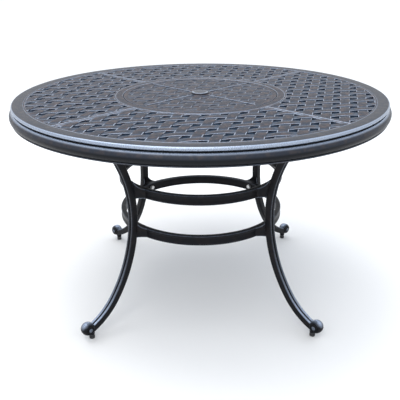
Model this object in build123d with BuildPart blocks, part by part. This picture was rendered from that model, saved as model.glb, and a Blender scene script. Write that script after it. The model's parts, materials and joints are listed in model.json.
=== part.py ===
"""Round patio dining table of cast aluminium, with a basket-weave top and an inlaid turntable.

Millimetres, +Z up. The origin is on the floor at the centre of the table, -Y is the front.
"""
import os
from math import asin, atan2, cos, degrees, hypot, radians, sin, sqrt, tan

from build123d import *

# Overall size
table_diameter = 1219.2
table_height = 711.2

# Rim hoop: upper bead, groove, half-round lower bead and a fine lip
rim_depth = 51.0
rim_border_width = 44.6
upper_bead_height = 11.0
upper_bead_bulge = 5.0
upper_bead_setback = 7.6
rim_groove_height = 4.5
rim_groove_depth = 3.0
lower_bead_bulge = 11.0
rim_lip_height = 3.0
rim_lip_setback = 6.5
rim_wall = 17.0
rim_flange_thickness = 8.0

# Top panels: a plate on ledges, with the straps standing above it
panel_thickness = 8.0
weave_relief = 3.0
panel_border = 7.0
panel_seam = 1.6
ledge_thickness = 6.0
ledge_width = 12.0
ledge_step = 8.0

# Basket weave: two families of straps, each with its own direction and crossing pitch
strap_a_angle = 10.2
strap_a_pitch = 56.2
strap_b_angle = 76.4
strap_b_pitch = 57.0
strap_width = 30.0
strap_groove = 1.2
weave_hole_x = 42.5
weave_hole_y = -387.8
smallest_cut = 25.0

# Turntable disc, its ring and the umbrella hole
disc_diameter = 502.0
turntable_gap = 2.5
centre_band_width = 23.5
centre_wall = 11.5
disc_thickness = 9.0
disc_relief = 2.0
disc_band_width = 15.0
disc_line_width = 5.0
disc_line_groove = 3.0
umbrella_hole_diameter = 50.8
hub_wall = 12.0

# Umbrella plug
plug_diameter = 58.0
plug_height = 5.5
plug_edge = 2.5
plug_skirt_depth = 9.0
plug_skirt_wall = 3.0
plug_clearance = 0.5

# Turntable bearing: fixed inner race, turning outer race, caged balls between them
ball_circle_diameter = 280.0
ball_diameter = 4.8
ball_count = 24
ball_clearance = 0.1
race_gap = 3.0
race_width = 19.0
race_height = 10.0
race_offset = 4.0
cage_thickness = 1.6
cage_height = 7.4
disc_boss_height = 8.2
race_screw_diameter = 4.0
race_screw_head_diameter = 7.0
race_screw_head_height = 2.4
race_screw_grip = 6.0
race_screw_count = 6

# Bearing carrier under the centre ring
carrier_thickness = 6.0
carrier_flange_width = 25.5
carrier_flange_thickness = 6.0
carrier_clearance = 3.5
carrier_spoke_width = 54.0
carrier_ring_margin = 8.0
collar_wall = 6.6
collar_length = 34.0
carrier_screw_diameter = 5.0
carrier_screw_head_diameter = 9.0
carrier_screw_head_height = 3.0
carrier_screw_count = 8
screw_end_room = 0.6
screw_head_round = 0.8

# Cross bars under the seams
bar_width = 64.0
bar_thickness = 12.2
bar_land_width = 24.0
fit_gap = 0.3

# Legs: centre line in the radial plane, from the head down to the toe
waist_radius = 308.5
waist_height = 372.0
upper_bend_radius = 400.0
upper_bend_angle = 28.0
lower_bend_angle = 38.0
toe_bend_radius = 220.0
leg_width = 25.0
leg_depth = 24.0
leg_corner = 4.0
ridge_rise = 5.0
flute_width = 3.0
flute_depth = 4.5

# Leg head: bracket and flange
flange_thickness = 8.0
flange_inner_radius = 294.0
flange_overhang = 14.0
bracket_thickness = 16.0
bracket_foot_height = 528.0
bracket_rise = 14.0
bracket_inset = 5.0
bracket_round = 12.0
leg_bolt_offset = 22.0
leg_bolt_end_margin = 17.0

# Scroll foot
scroll_radius = 21.5
scroll_position = 513.0
scroll_height = 40.5
scroll_width = 31.0
scroll_edge = 6.0
toe_end_inset = 8.0
toe_end_drop = 7.0
eye_diameter = 15.0
eye_height = 3.0

# Levelling foot
foot_position = 500.0
foot_boss_diameter = 19.0
foot_boss_height = 14.0
foot_boss_reach = 24.0
bush_diameter = 12.0
bush_length = 16.0
stem_diameter = 8.0
stem_reach = 15.0
thread_clearance = 0.05
collar_width = 13.0
collar_height = 3.5
pad_diameter = 18.0
pad_edge = 1.5
pad_floor = 4.0
seat_gap = 0.3

# Hoops that tie the legs together
hoop_radius = 282.0
hoop_thickness = 17.0
hoop_height = 32.0
hoop_corner = 3.0
hoop_band = 7.0
hoop_outer_hollow = 3.0
hoop_inner_hollow = 1.5
lower_hoop_height = 305.0
upper_hoop_height = 441.0
lug_width = 66.0
lug_root_rise = 45.0
lug_sink = 4.0

# Bolts and washers
bolt_diameter = 8.0
bolt_head_width = 13.0
bolt_head_height = 5.3
washer_diameter = 16.0
washer_thickness = 1.6
hole_clearance = 0.5
spot_face_margin = 1.0
spot_face_depth = 0.4
hoop_bolt_engagement = 9.0
leg_bolt_engagement = 10.0

CORNERS = {"front_left": 225, "front_right": 315, "back_right": 45, "back_left": 135}
SIDES = {"front": 270, "right": 0, "back": 90, "left": 180}
DIAGONALS = (45, 135)
HALF_SIDE = 45

# Heights and radii that several pieces share
rim_radius = table_diameter / 2
panel_outer_radius = rim_radius - rim_border_width
disc_radius = disc_diameter / 2
opening_radius = disc_radius + turntable_gap
panel_inner_radius = opening_radius + centre_band_width
ledge_top = table_height - panel_thickness
ledge_bottom = ledge_top - ledge_thickness
bar_bottom = ledge_bottom - bar_thickness
umbrella_radius = umbrella_hole_diameter / 2
ball_radius = ball_diameter / 2
ball_circle_radius = ball_circle_diameter / 2
disc_bottom = table_height - disc_thickness
outer_race_top = disc_bottom - disc_boss_height
outer_race_bottom = outer_race_top - race_height
inner_race_top = outer_race_top - race_offset
inner_race_bottom = inner_race_top - race_height
ball_height = (outer_race_bottom + inner_race_top) / 2
carrier_top = inner_race_bottom
carrier_bottom = carrier_top - carrier_thickness
ring_flange_inner = opening_radius - carrier_flange_width
ring_wall_radius = opening_radius + centre_wall
carrier_screw_turn = 180 / carrier_screw_count
bolt_radius = bolt_diameter / 2
tapped_radius = bolt_radius + thread_clearance

os.makedirs("parts", exist_ok=True)


def save(piece, name):
    """Label a finished piece and write it as its own file."""
    piece.part.label = name
    export_step(piece.part, f"parts/{name}.step")


def polar(radius, azimuth):
    """Point on the floor plan at a radius and an azimuth in degrees."""
    return radius * cos(radians(azimuth)), radius * sin(radians(azimuth))


def radial_plane(radius, azimuth, height):
    """Plane that faces outward along an azimuth, with its local Y upward."""
    x, y = polar(radius, azimuth)
    across = (-sin(radians(azimuth)), cos(radians(azimuth)), 0)
    return Plane((x, y, height), x_dir=across, z_dir=(cos(radians(azimuth)), sin(radians(azimuth)), 0))


# Basket weave, shared by the panels and the turntable disc
strap_a = Vector(strap_a_pitch * cos(radians(strap_a_angle)), strap_a_pitch * sin(radians(strap_a_angle)))
strap_b = Vector(strap_b_pitch * cos(radians(strap_b_angle)), strap_b_pitch * sin(radians(strap_b_angle)))
strap_slant = sin(radians(strap_b_angle - strap_a_angle))
strap_along = strap_width / strap_slant
groove_along = strap_groove / strap_slant
first_hole = Vector(weave_hole_x, weave_hole_y)


def slanted(centre, length_a, length_b):
    """Corners of a parallelogram with its sides along the two straps."""
    half_a = strap_a.normalized() * (length_a / 2)
    half_b = strap_b.normalized() * (length_b / 2)
    signs = ((-1, -1), (1, -1), (1, 1), (-1, 1))
    corners = [centre + half_a * side_a + half_b * side_b for side_a, side_b in signs]
    return [(corner.X, corner.Y) for corner in corners]


def weave_steps(reach):
    """Steps along both straps whose cell can lie within a distance of the centre."""
    count = int(2 * (reach + first_hole.length) / min(strap_a_pitch, strap_b_pitch))
    for step_a in range(-count, count + 1):
        for step_b in range(-count, count + 1):
            hole = first_hole + strap_a * step_a + strap_b * step_b
            if hole.length < reach + strap_a_pitch:
                yield step_a, step_b, hole


def weave_holes(reach):
    """Parallelograms left open between the straps."""
    length_a = strap_a_pitch - strap_along
    length_b = strap_b_pitch - strap_along
    return [slanted(hole, length_a, length_b) for _, _, hole in weave_steps(reach)]


def weave_bricks(reach):
    """Where a strap passes over: the stretch that shows between the two straps that cross over it."""
    bricks = []
    for step_a, step_b, hole in weave_steps(reach):
        crossing = hole + (strap_a + strap_b) / 2
        length_a = strap_along - 2 * groove_along
        length_b = strap_along - 2 * groove_along
        if (step_a + step_b) % 2 == 0:
            length_a = 2 * strap_a_pitch - strap_along - 2 * groove_along
        else:
            length_b = 2 * strap_b_pitch - strap_along - 2 * groove_along
        bricks.append(slanted(crossing, length_a, length_b))
    return bricks


def meets(corners, window):
    """Whether a parallelogram's part inside the window is more than a sliver."""
    shape = Polygon(*corners, align=None, mode=Mode.PRIVATE)
    common = shape & window
    return common is not None and sum(face.area for face in common.faces()) > smallest_cut


def quadrant(azimuth, inner, outer, clear):
    """Ring sector between the two diagonals beside an azimuth, kept clear of both of them."""
    tip = Vector(*polar(clear * sqrt(2), azimuth))
    left = tip + Vector(*polar(2 * outer, azimuth + HALF_SIDE))
    right = tip + Vector(*polar(2 * outer, azimuth - HALF_SIDE))
    with BuildSketch() as sector:
        Circle(outer)
        Circle(inner, mode=Mode.SUBTRACT)
        with BuildLine():
            Polyline(tip, right, left, close=True)
        make_face(mode=Mode.INTERSECT)
    return sector.sketch


def pattern(shapes, window):
    """The parallelograms that matter, trimmed to the window."""
    chosen = [corners for corners in shapes if meets(corners, window)]
    with BuildSketch() as trimmed:
        for corners in chosen:
            Polygon(*corners, align=None)
        add(window, mode=Mode.INTERSECT)
    return trimmed.sketch


# Top panels: plate with open lattice, plain borders, straps in relief
holes = weave_holes(panel_outer_radius)
bricks = weave_bricks(panel_outer_radius)
for side, azimuth in SIDES.items():
    outline = quadrant(azimuth, panel_inner_radius, panel_outer_radius, panel_seam / 2)
    window = quadrant(
        azimuth,
        panel_inner_radius + panel_border,
        panel_outer_radius - panel_border,
        panel_seam / 2 + panel_border,
    )
    openings = pattern(holes, window)
    straps = pattern(bricks, window)
    with BuildPart() as panel:
        with BuildSketch(Plane.XY.offset(ledge_top)):
            add(outline)
            add(openings, mode=Mode.SUBTRACT)
        extrude(amount=panel_thickness - weave_relief)
        with BuildSketch(Plane.XY.offset(table_height - weave_relief)):
            add(outline)
            add(window, mode=Mode.SUBTRACT)
            add(straps)
        extrude(amount=weave_relief)
    save(panel, f"top_panel_{side}")

# Rim hoop: one section turned about the table's axis
bead_top = table_height - upper_bead_height - rim_groove_height
bead_bottom = table_height - rim_depth + rim_lip_height
bead_root = rim_radius - lower_bead_bulge
upper_root = rim_radius - upper_bead_setback - upper_bead_bulge
groove_root = upper_root - rim_groove_depth
rim_bottom = table_height - rim_depth
rim_inside = rim_radius - rim_wall
lip_radius = rim_radius - rim_lip_setback
ledge_inner = panel_outer_radius - ledge_width
step_radius = panel_outer_radius + ledge_step
flange_bottom = table_height - rim_flange_thickness
with BuildPart() as rim_hoop:
    with BuildSketch(Plane.XZ):
        with BuildLine():
            Line((panel_outer_radius, table_height), (upper_root, table_height))
            ThreePointArc(
                (upper_root, table_height),
                (upper_root + upper_bead_bulge, table_height - upper_bead_height / 2),
                (upper_root, table_height - upper_bead_height),
            )
            Polyline(
                (upper_root, table_height - upper_bead_height),
                (groove_root, table_height - upper_bead_height),
                (groove_root, bead_top),
                (bead_root, bead_top),
            )
            ThreePointArc(
                (bead_root, bead_top),
                (rim_radius, (bead_top + bead_bottom) / 2),
                (bead_root, bead_bottom),
            )
            Polyline(
                (bead_root, bead_bottom),
                (lip_radius, bead_bottom),
                (lip_radius, rim_bottom),
                (rim_inside, rim_bottom),
                (rim_inside, flange_bottom),
                (step_radius, flange_bottom),
                (step_radius, ledge_bottom),
                (ledge_inner, ledge_bottom),
                (ledge_inner, ledge_top),
                (panel_outer_radius, ledge_top),
                (panel_outer_radius, table_height),
            )
        make_face()
    revolve(axis=Axis.Z)
save(rim_hoop, "rim_hoop")

# Centre ring: plain band, ledge for the panels, wall, and the flange that the carrier hangs from
with BuildPart() as centre_ring:
    with BuildSketch(Plane.XZ):
        with BuildLine():
            Polyline(
                (opening_radius, table_height),
                (panel_inner_radius, table_height),
                (panel_inner_radius, ledge_top),
                (panel_inner_radius + ledge_width, ledge_top),
                (panel_inner_radius + ledge_width, ledge_bottom),
                (ring_wall_radius, ledge_bottom),
                (ring_wall_radius, carrier_top),
                (ring_flange_inner, carrier_top),
                (ring_flange_inner, carrier_top + carrier_flange_thickness),
                (opening_radius, carrier_top + carrier_flange_thickness),
                close=True,
            )
        make_face()
    revolve(axis=Axis.Z)
    carrier_screw_circle = (ring_flange_inner + opening_radius - carrier_clearance) / 2
    with BuildSketch(Plane.XY.offset(carrier_top)):
        with PolarLocations(carrier_screw_circle, carrier_screw_count, start_angle=carrier_screw_turn):
            Circle(carrier_screw_diameter / 2 + thread_clearance)
    extrude(amount=carrier_flange_thickness, mode=Mode.SUBTRACT)
save(centre_ring, "centre_ring")

# Cross bar: plate under the ledges, and a land between them that carries both panels' edges
flange_top = bar_bottom
leg_lean = tan(radians(upper_bend_angle))
bend_top_radius = waist_radius + upper_bend_radius * (1 - cos(radians(upper_bend_angle)))
bend_top_height = waist_height + upper_bend_radius * sin(radians(upper_bend_angle))
head_radius = bend_top_radius + (flange_top - bend_top_height) * leg_lean
flange_outer_radius = head_radius + leg_depth / 2 / cos(radians(upper_bend_angle)) + flange_overhang
leg_bolt_radii = (flange_inner_radius + leg_bolt_end_margin, flange_outer_radius - leg_bolt_end_margin)
leg_bolt_points = [(r, side * leg_bolt_offset) for r in leg_bolt_radii for side in (-1, 1)]
bar_start = ring_wall_radius + fit_gap
bar_end = step_radius
land_start = panel_inner_radius + ledge_width + fit_gap
land_end = sqrt(ledge_inner**2 - (bar_land_width / 2) ** 2) - fit_gap
with BuildPart() as cross_bar:
    with BuildSketch(Plane.XY.offset(bar_bottom)):
        with Locations(((bar_start + bar_end) / 2, 0)):
            Rectangle(bar_end - bar_start, bar_width)
    extrude(amount=bar_thickness)
    with BuildSketch(Plane.XY.offset(ledge_bottom)):
        with Locations(((land_start + land_end) / 2, 0)):
            Rectangle(land_end - land_start, bar_land_width)
    extrude(amount=ledge_thickness)
    with BuildSketch(Plane.XY.offset(bar_bottom)):
        with Locations(*leg_bolt_points):
            Circle(tapped_radius)
    extrude(amount=leg_bolt_engagement + screw_end_room, mode=Mode.SUBTRACT)
for corner, azimuth in CORNERS.items():
    with BuildPart() as placed_bar:
        add(cross_bar.part, rotation=(0, 0, azimuth))
    save(placed_bar, f"cross_bar_{corner}")

# Turntable disc: plain band, hub and four raised lines round a weave in low relief, boss for the bearing
outer_race_inner = ball_circle_radius + race_gap / 2
outer_race_outer = outer_race_inner + race_width
inner_race_outer = ball_circle_radius - race_gap / 2
inner_race_inner = inner_race_outer - race_width
outer_screw_circle = outer_race_outer - race_width / 2
inner_screw_circle = inner_race_inner + race_width / 2
hub_radius = plug_diameter / 2 + hub_wall
weave_outer = disc_radius - disc_band_width
line_clear = disc_line_width / 2 + disc_line_groove
disc_bricks = weave_bricks(weave_outer)
with BuildPart() as turntable_disc:
    with BuildSketch(Plane.XY.offset(disc_bottom)):
        Circle(disc_radius)
    extrude(amount=disc_thickness - disc_relief)
    with BuildSketch(Plane.XY.offset(table_height - disc_relief)):
        Circle(disc_radius)
        Circle(weave_outer, mode=Mode.SUBTRACT)
        Circle(hub_radius)
        for azimuth in DIAGONALS:
            Rectangle(2 * (disc_radius - disc_band_width / 2), disc_line_width, rotation=azimuth)
        for azimuth in SIDES.values():
            add(pattern(disc_bricks, quadrant(azimuth, hub_radius, weave_outer, line_clear)))
    extrude(amount=disc_relief)
    with BuildSketch(Plane.XY.offset(disc_bottom)):
        Circle(outer_race_outer)
        Circle(outer_race_inner, mode=Mode.SUBTRACT)
        Circle(umbrella_radius + hub_wall)
    extrude(amount=-disc_boss_height)
    with BuildSketch(Plane.XY.offset(disc_bottom - disc_boss_height)):
        Circle(umbrella_radius)
    extrude(amount=disc_boss_height + disc_thickness, mode=Mode.SUBTRACT)
    with BuildSketch(Plane.XY.offset(outer_race_top)):
        with PolarLocations(outer_screw_circle, race_screw_count):
            Circle(race_screw_diameter / 2 + thread_clearance)
    extrude(amount=race_screw_grip + screw_end_room, mode=Mode.SUBTRACT)
save(turntable_disc, "turntable_disc")

# Umbrella plug: domed cap with a skirt that drops into the hole
plug_radius = plug_diameter / 2
skirt_radius = umbrella_radius - plug_clearance
plug_top = table_height + plug_height
with BuildPart() as umbrella_plug:
    with BuildSketch(Plane.XZ):
        with BuildLine():
            Line((0, plug_top), (plug_radius - plug_edge, plug_top))
            RadiusArc((plug_radius - plug_edge, plug_top), (plug_radius, plug_top - plug_edge), plug_edge)
            Polyline(
                (plug_radius, plug_top - plug_edge),
                (plug_radius, table_height),
                (skirt_radius, table_height),
                (skirt_radius, table_height - plug_skirt_depth),
                (skirt_radius - plug_skirt_wall, table_height - plug_skirt_depth),
                (skirt_radius - plug_skirt_wall, table_height),
                (0, table_height),
                (0, plug_top),
            )
        make_face()
    revolve(axis=Axis.Z)
save(umbrella_plug, "umbrella_plug")

# Bearing races: rings with a ball groove, drilled for their screws
groove_radius = ball_radius + ball_clearance


def make_race(inner, outer, bottom, screw_circle, name):
    """One race between two radii, standing on a height."""
    with BuildPart() as race:
        with BuildSketch(Plane.XZ):
            with Locations(((inner + outer) / 2, bottom + race_height / 2)):
                Rectangle(outer - inner, race_height)
            with Locations((ball_circle_radius, ball_height)):
                Circle(groove_radius, mode=Mode.SUBTRACT)
        revolve(axis=Axis.Z)
        with BuildSketch(Plane.XY.offset(bottom)):
            with PolarLocations(screw_circle, race_screw_count):
                Circle(race_screw_diameter / 2 + thread_clearance)
        extrude(amount=race_height, mode=Mode.SUBTRACT)
    save(race, name)


make_race(inner_race_inner, inner_race_outer, inner_race_bottom, inner_screw_circle, "bearing_inner_race")
make_race(outer_race_inner, outer_race_outer, outer_race_bottom, outer_screw_circle, "bearing_outer_race")

# Ball cage with a pocket for each ball, and the balls
with BuildPart() as cage:
    with BuildSketch(Plane.XY.offset(ball_height - cage_height / 2)):
        Circle(ball_circle_radius + cage_thickness / 2)
        Circle(ball_circle_radius - cage_thickness / 2, mode=Mode.SUBTRACT)
    extrude(amount=cage_height)
    for number in range(ball_count):
        azimuth = 360 / ball_count * number
        with BuildSketch(radial_plane(ball_circle_radius - cage_thickness, azimuth, ball_height)):
            Circle(groove_radius)
        extrude(amount=2 * cage_thickness, mode=Mode.SUBTRACT)
save(cage, "bearing_cage")

with BuildPart() as balls:
    with PolarLocations(ball_circle_radius, ball_count):
        with Locations((0, 0, ball_height)):
            Sphere(ball_radius)
save(balls, "bearing_balls")

# Bearing carrier: plate with spokes, hung from the centre ring, and the collar for the umbrella pole
carrier_radius = opening_radius - carrier_clearance
collar_radius = umbrella_radius + collar_wall
with BuildPart() as carrier:
    with BuildSketch(Plane.XY.offset(carrier_bottom)):
        Circle(carrier_radius)
        windows = (
            (ring_flange_inner - carrier_ring_margin, outer_race_outer + carrier_ring_margin),
            (inner_race_inner - carrier_ring_margin, collar_radius + carrier_ring_margin),
        )
        for outer, inner in windows:
            with BuildSketch(mode=Mode.SUBTRACT):
                Circle(outer)
                Circle(inner, mode=Mode.SUBTRACT)
                for azimuth in DIAGONALS:
                    Rectangle(2 * outer, carrier_spoke_width, rotation=azimuth, mode=Mode.SUBTRACT)
    extrude(amount=carrier_thickness)
    with BuildSketch(Plane.XY.offset(carrier_bottom)):
        Circle(collar_radius)
    extrude(amount=-collar_length)
    with BuildSketch(Plane.XY.offset(carrier_bottom - collar_length)):
        Circle(umbrella_radius)
    extrude(amount=collar_length + carrier_thickness, mode=Mode.SUBTRACT)
    with BuildSketch(Plane.XY.offset(carrier_bottom)):
        with PolarLocations(carrier_screw_circle, carrier_screw_count, start_angle=carrier_screw_turn):
            Circle(carrier_screw_diameter / 2 + thread_clearance)
        with PolarLocations(inner_screw_circle, race_screw_count):
            Circle(race_screw_diameter / 2 + thread_clearance)
    extrude(amount=carrier_thickness, mode=Mode.SUBTRACT)
save(carrier, "bearing_carrier")


def pan_screw(diameter, head_diameter, head_height, length):
    """Screw with its seat on the floor plane: rounded head below, shank above."""
    with BuildPart() as screw:
        with BuildSketch():
            Circle(head_diameter / 2)
        extrude(amount=-head_height)
        fillet(screw.faces().sort_by(Axis.Z)[0].edges(), radius=screw_head_round)
        with BuildSketch():
            Circle(diameter / 2)
        extrude(amount=length)
    return screw.part


def hex_bolt(length):
    """Hexagon bolt with its seat on the floor plane: head below, shank above."""
    with BuildPart() as bolt:
        with BuildSketch():
            RegularPolygon(bolt_head_width / 2, 6, major_radius=False)
        extrude(amount=-bolt_head_height)
        with BuildSketch():
            Circle(bolt_radius)
        extrude(amount=length)
    return bolt.part


def washer():
    """Flat washer that lies under the floor plane."""
    with BuildPart() as disc:
        with BuildSketch():
            Circle(washer_diameter / 2)
            Circle(tapped_radius, mode=Mode.SUBTRACT)
        extrude(amount=-washer_thickness)
    return disc.part


def seats(circle, count, first, height, z_dir):
    """Level planes spaced evenly round a circle."""
    azimuths = [first + 360 / count * number for number in range(count)]
    return [Plane((*polar(circle, azimuth), height), z_dir=z_dir) for azimuth in azimuths]


def save_group(piece, places, name):
    """Place copies of one fastener and write them as one group."""
    with BuildPart() as group:
        with Locations(*places):
            add(piece)
    save(group, name)


# Screws of the bearing and the carrier
base_screw = pan_screw(
    race_screw_diameter,
    race_screw_head_diameter,
    race_screw_head_height,
    race_height + carrier_thickness - screw_end_room,
)
base_seats = seats(inner_screw_circle, race_screw_count, 0, inner_race_top, (0, 0, -1))
save_group(base_screw, base_seats, "bearing_base_screws")
disc_screw = pan_screw(
    race_screw_diameter,
    race_screw_head_diameter,
    race_screw_head_height,
    race_height + race_screw_grip,
)
disc_seats = seats(outer_screw_circle, race_screw_count, 0, outer_race_bottom, (0, 0, 1))
save_group(disc_screw, disc_seats, "bearing_disc_screws")
carrier_screw = pan_screw(
    carrier_screw_diameter,
    carrier_screw_head_diameter,
    carrier_screw_head_height,
    carrier_thickness + carrier_flange_thickness - screw_end_room,
)
carrier_seats = seats(
    carrier_screw_circle, carrier_screw_count, carrier_screw_turn, carrier_bottom, (0, 0, 1)
)
save_group(carrier_screw, carrier_seats, "carrier_screws")


# Lower bends: the lower bend's radius and the toe's angle are solved so that the toe ends at the scroll
turn = radians(lower_bend_angle)
toe_end = (scroll_position - toe_end_inset, scroll_height - toe_end_drop)
toe_across = toe_bend_radius * cos(turn) - (toe_end[0] - waist_radius)
toe_down = toe_bend_radius * sin(turn) + waist_height - toe_end[1]
bend_spread = 2 * (1 - cos(turn))
bend_pull = toe_down * sin(turn) - toe_across * (1 - cos(turn))
bend_room = bend_pull**2 - bend_spread * (toe_across**2 + toe_down**2 - toe_bend_radius**2)
lower_bend_radius = (bend_pull - sqrt(bend_room)) / bend_spread
bend_step = lower_bend_radius - toe_bend_radius
lower_centre = (waist_radius + lower_bend_radius, waist_height)
toe_centre = (lower_centre[0] - bend_step * cos(turn), lower_centre[1] - bend_step * sin(turn))
toe_turn = degrees(atan2(toe_end[1] - toe_centre[1], toe_end[0] - toe_centre[0]))
toe_bend_angle = 180 + toe_turn - lower_bend_angle


def leg_radius(height):
    """Radius of the leg's centre line at a height near its waist."""
    bend = upper_bend_radius if height > waist_height else lower_bend_radius
    return waist_radius + bend - sqrt(bend**2 - (height - waist_height) ** 2)


# Leg: double-ridge section carried down the bends, with head, lugs and scroll foot
half_width = leg_width / 2
half_depth = leg_depth / 2
lean = radians(upper_bend_angle)
top_room = leg_depth * sin(lean)
head_top = (head_radius + top_room * leg_lean, flange_top + top_room)
bend_top = (bend_top_radius, bend_top_height)
upper_centre = (waist_radius + upper_bend_radius, waist_height)
flute_edge = half_depth - flute_depth
ridge_edge = half_depth - ridge_rise
ridge_middle = (half_width + flute_width / 2) / 2
bracket_foot = leg_radius(bracket_foot_height)
bracket_inner = flange_inner_radius + bracket_inset
with BuildPart() as leg:
    with BuildLine(Plane.XZ) as centre_line:
        Line(head_top, bend_top)
        CenterArc(upper_centre, upper_bend_radius, 180 - upper_bend_angle, upper_bend_angle)
        CenterArc(lower_centre, lower_bend_radius, 180, lower_bend_angle)
        CenterArc(toe_centre, toe_bend_radius, 180 + lower_bend_angle, toe_bend_angle)
    section_plane = Plane(
        (head_top[0], 0, head_top[1]), x_dir=(cos(lean), 0, -sin(lean)), z_dir=(-sin(lean), 0, -cos(lean))
    )
    with BuildSketch(section_plane):
        with BuildLine():
            Line((leg_corner - half_depth, -half_width), (ridge_edge, -half_width))
            ThreePointArc(
                (ridge_edge, -half_width), (half_depth, -ridge_middle), (flute_edge, -flute_width / 2)
            )
            Line((flute_edge, -flute_width / 2), (flute_edge, flute_width / 2))
            ThreePointArc(
                (flute_edge, flute_width / 2), (half_depth, ridge_middle), (ridge_edge, half_width)
            )
            Line((ridge_edge, half_width), (leg_corner - half_depth, half_width))
            CenterArc((leg_corner - half_depth, half_width - leg_corner), leg_corner, 90, 90)
            Line((-half_depth, half_width - leg_corner), (-half_depth, leg_corner - half_width))
            CenterArc((leg_corner - half_depth, leg_corner - half_width), leg_corner, 180, 90)
        make_face()
    sweep(path=centre_line.wire())
    with BuildSketch(Plane.XZ):
        with BuildLine():
            FilletPolyline(
                (bracket_foot, bracket_foot_height),
                (bracket_inner, bracket_foot_height + bracket_rise),
                (bracket_inner, flange_top),
                radius=bracket_round,
            )
            Polyline(
                (bracket_inner, flange_top),
                (head_radius, flange_top),
                bend_top,
                (bracket_foot, bracket_foot_height),
            )
        make_face()
    extrude(amount=bracket_thickness / 2, both=True)
    with BuildSketch(Plane.XY.offset(flange_top - flange_thickness)):
        with Locations(((flange_inner_radius + flange_outer_radius) / 2, 0)):
            RectangleRounded(flange_outer_radius - flange_inner_radius, bar_width, flange_overhang / 2)
    extrude(amount=flange_thickness)
    split(bisect_by=Plane.XY.offset(flange_top), keep=Keep.BOTTOM)
    for height in (lower_hoop_height, upper_hoop_height):
        root = leg_radius(height) - half_depth + lug_sink
        seat_radius = sqrt(hoop_radius**2 - (lug_width / 2) ** 2)
        root_plane = Plane((root, 0, height), x_dir=(0, 1, 0), z_dir=(1, 0, 0))
        seat_plane = Plane((seat_radius, 0, height), x_dir=(0, 1, 0), z_dir=(1, 0, 0))
        with BuildSketch(seat_plane):
            Rectangle(lug_width, hoop_height)
        with BuildSketch(root_plane):
            with Locations((0, (lug_root_rise - hoop_height / 2) / 2)):
                Rectangle(leg_width - 2 * leg_corner, lug_root_rise + hoop_height / 2)
        loft()
    with BuildSketch(Plane.XY):
        Circle(hoop_radius)
    extrude(amount=bracket_foot_height, mode=Mode.SUBTRACT)
    scroll_plane = Plane((scroll_position, 0, scroll_height), x_dir=(0, 1, 0), z_dir=(1, 0, 0))
    eye_end = scroll_width / 2 + eye_height
    with BuildSketch(scroll_plane):
        with BuildLine():
            Polyline(
                (-eye_end, 0),
                (-eye_end, eye_diameter / 2),
                (-scroll_width / 2, eye_diameter / 2),
                (-scroll_width / 2, scroll_radius - scroll_edge),
            )
            ThreePointArc(
                (-scroll_width / 2, scroll_radius - scroll_edge),
                (0, scroll_radius),
                (scroll_width / 2, scroll_radius - scroll_edge),
            )
            Polyline(
                (scroll_width / 2, scroll_radius - scroll_edge),
                (scroll_width / 2, eye_diameter / 2),
                (eye_end, eye_diameter / 2),
                (eye_end, 0),
                (-eye_end, 0),
            )
        make_face()
    revolve(axis=Axis((scroll_position, 0, scroll_height), (0, 1, 0)))
    with BuildSketch(Plane.XY.offset(foot_boss_height)):
        with Locations((foot_position, 0)):
            Circle(foot_boss_diameter / 2)
    extrude(amount=foot_boss_reach)
    with BuildSketch(Plane.XY.offset(foot_boss_height)):
        with Locations((foot_position, 0)):
            Circle(bush_diameter / 2)
    extrude(amount=bush_length, mode=Mode.SUBTRACT)
    with BuildSketch(Plane.XY.offset(flange_top - flange_thickness)):
        with Locations(*leg_bolt_points):
            Circle(bolt_radius + hole_clearance)
    extrude(amount=flange_thickness, mode=Mode.SUBTRACT)
    for height in (lower_hoop_height, upper_hoop_height):
        hole_end = leg_radius(height) - half_depth + hoop_bolt_engagement + screw_end_room
        with BuildSketch(radial_plane(0, 0, height)):
            Circle(tapped_radius)
        extrude(amount=hole_end, mode=Mode.SUBTRACT)
for corner, azimuth in CORNERS.items():
    with BuildPart() as placed_leg:
        add(leg.part, rotation=(0, 0, azimuth))
    save(placed_leg, f"leg_{corner}")

# Hoops: bands along both edges with a hollow between, drilled and spot-faced at the legs
hoop_inside = hoop_radius - hoop_thickness
spot_face_radius = hoop_inside + hoop_inner_hollow + spot_face_depth
half_hoop = hoop_height / 2
hollow_top = half_hoop - hoop_band
hole_start = hoop_inside - hoop_thickness
hole_length = hoop_radius + hoop_thickness - hole_start


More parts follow.
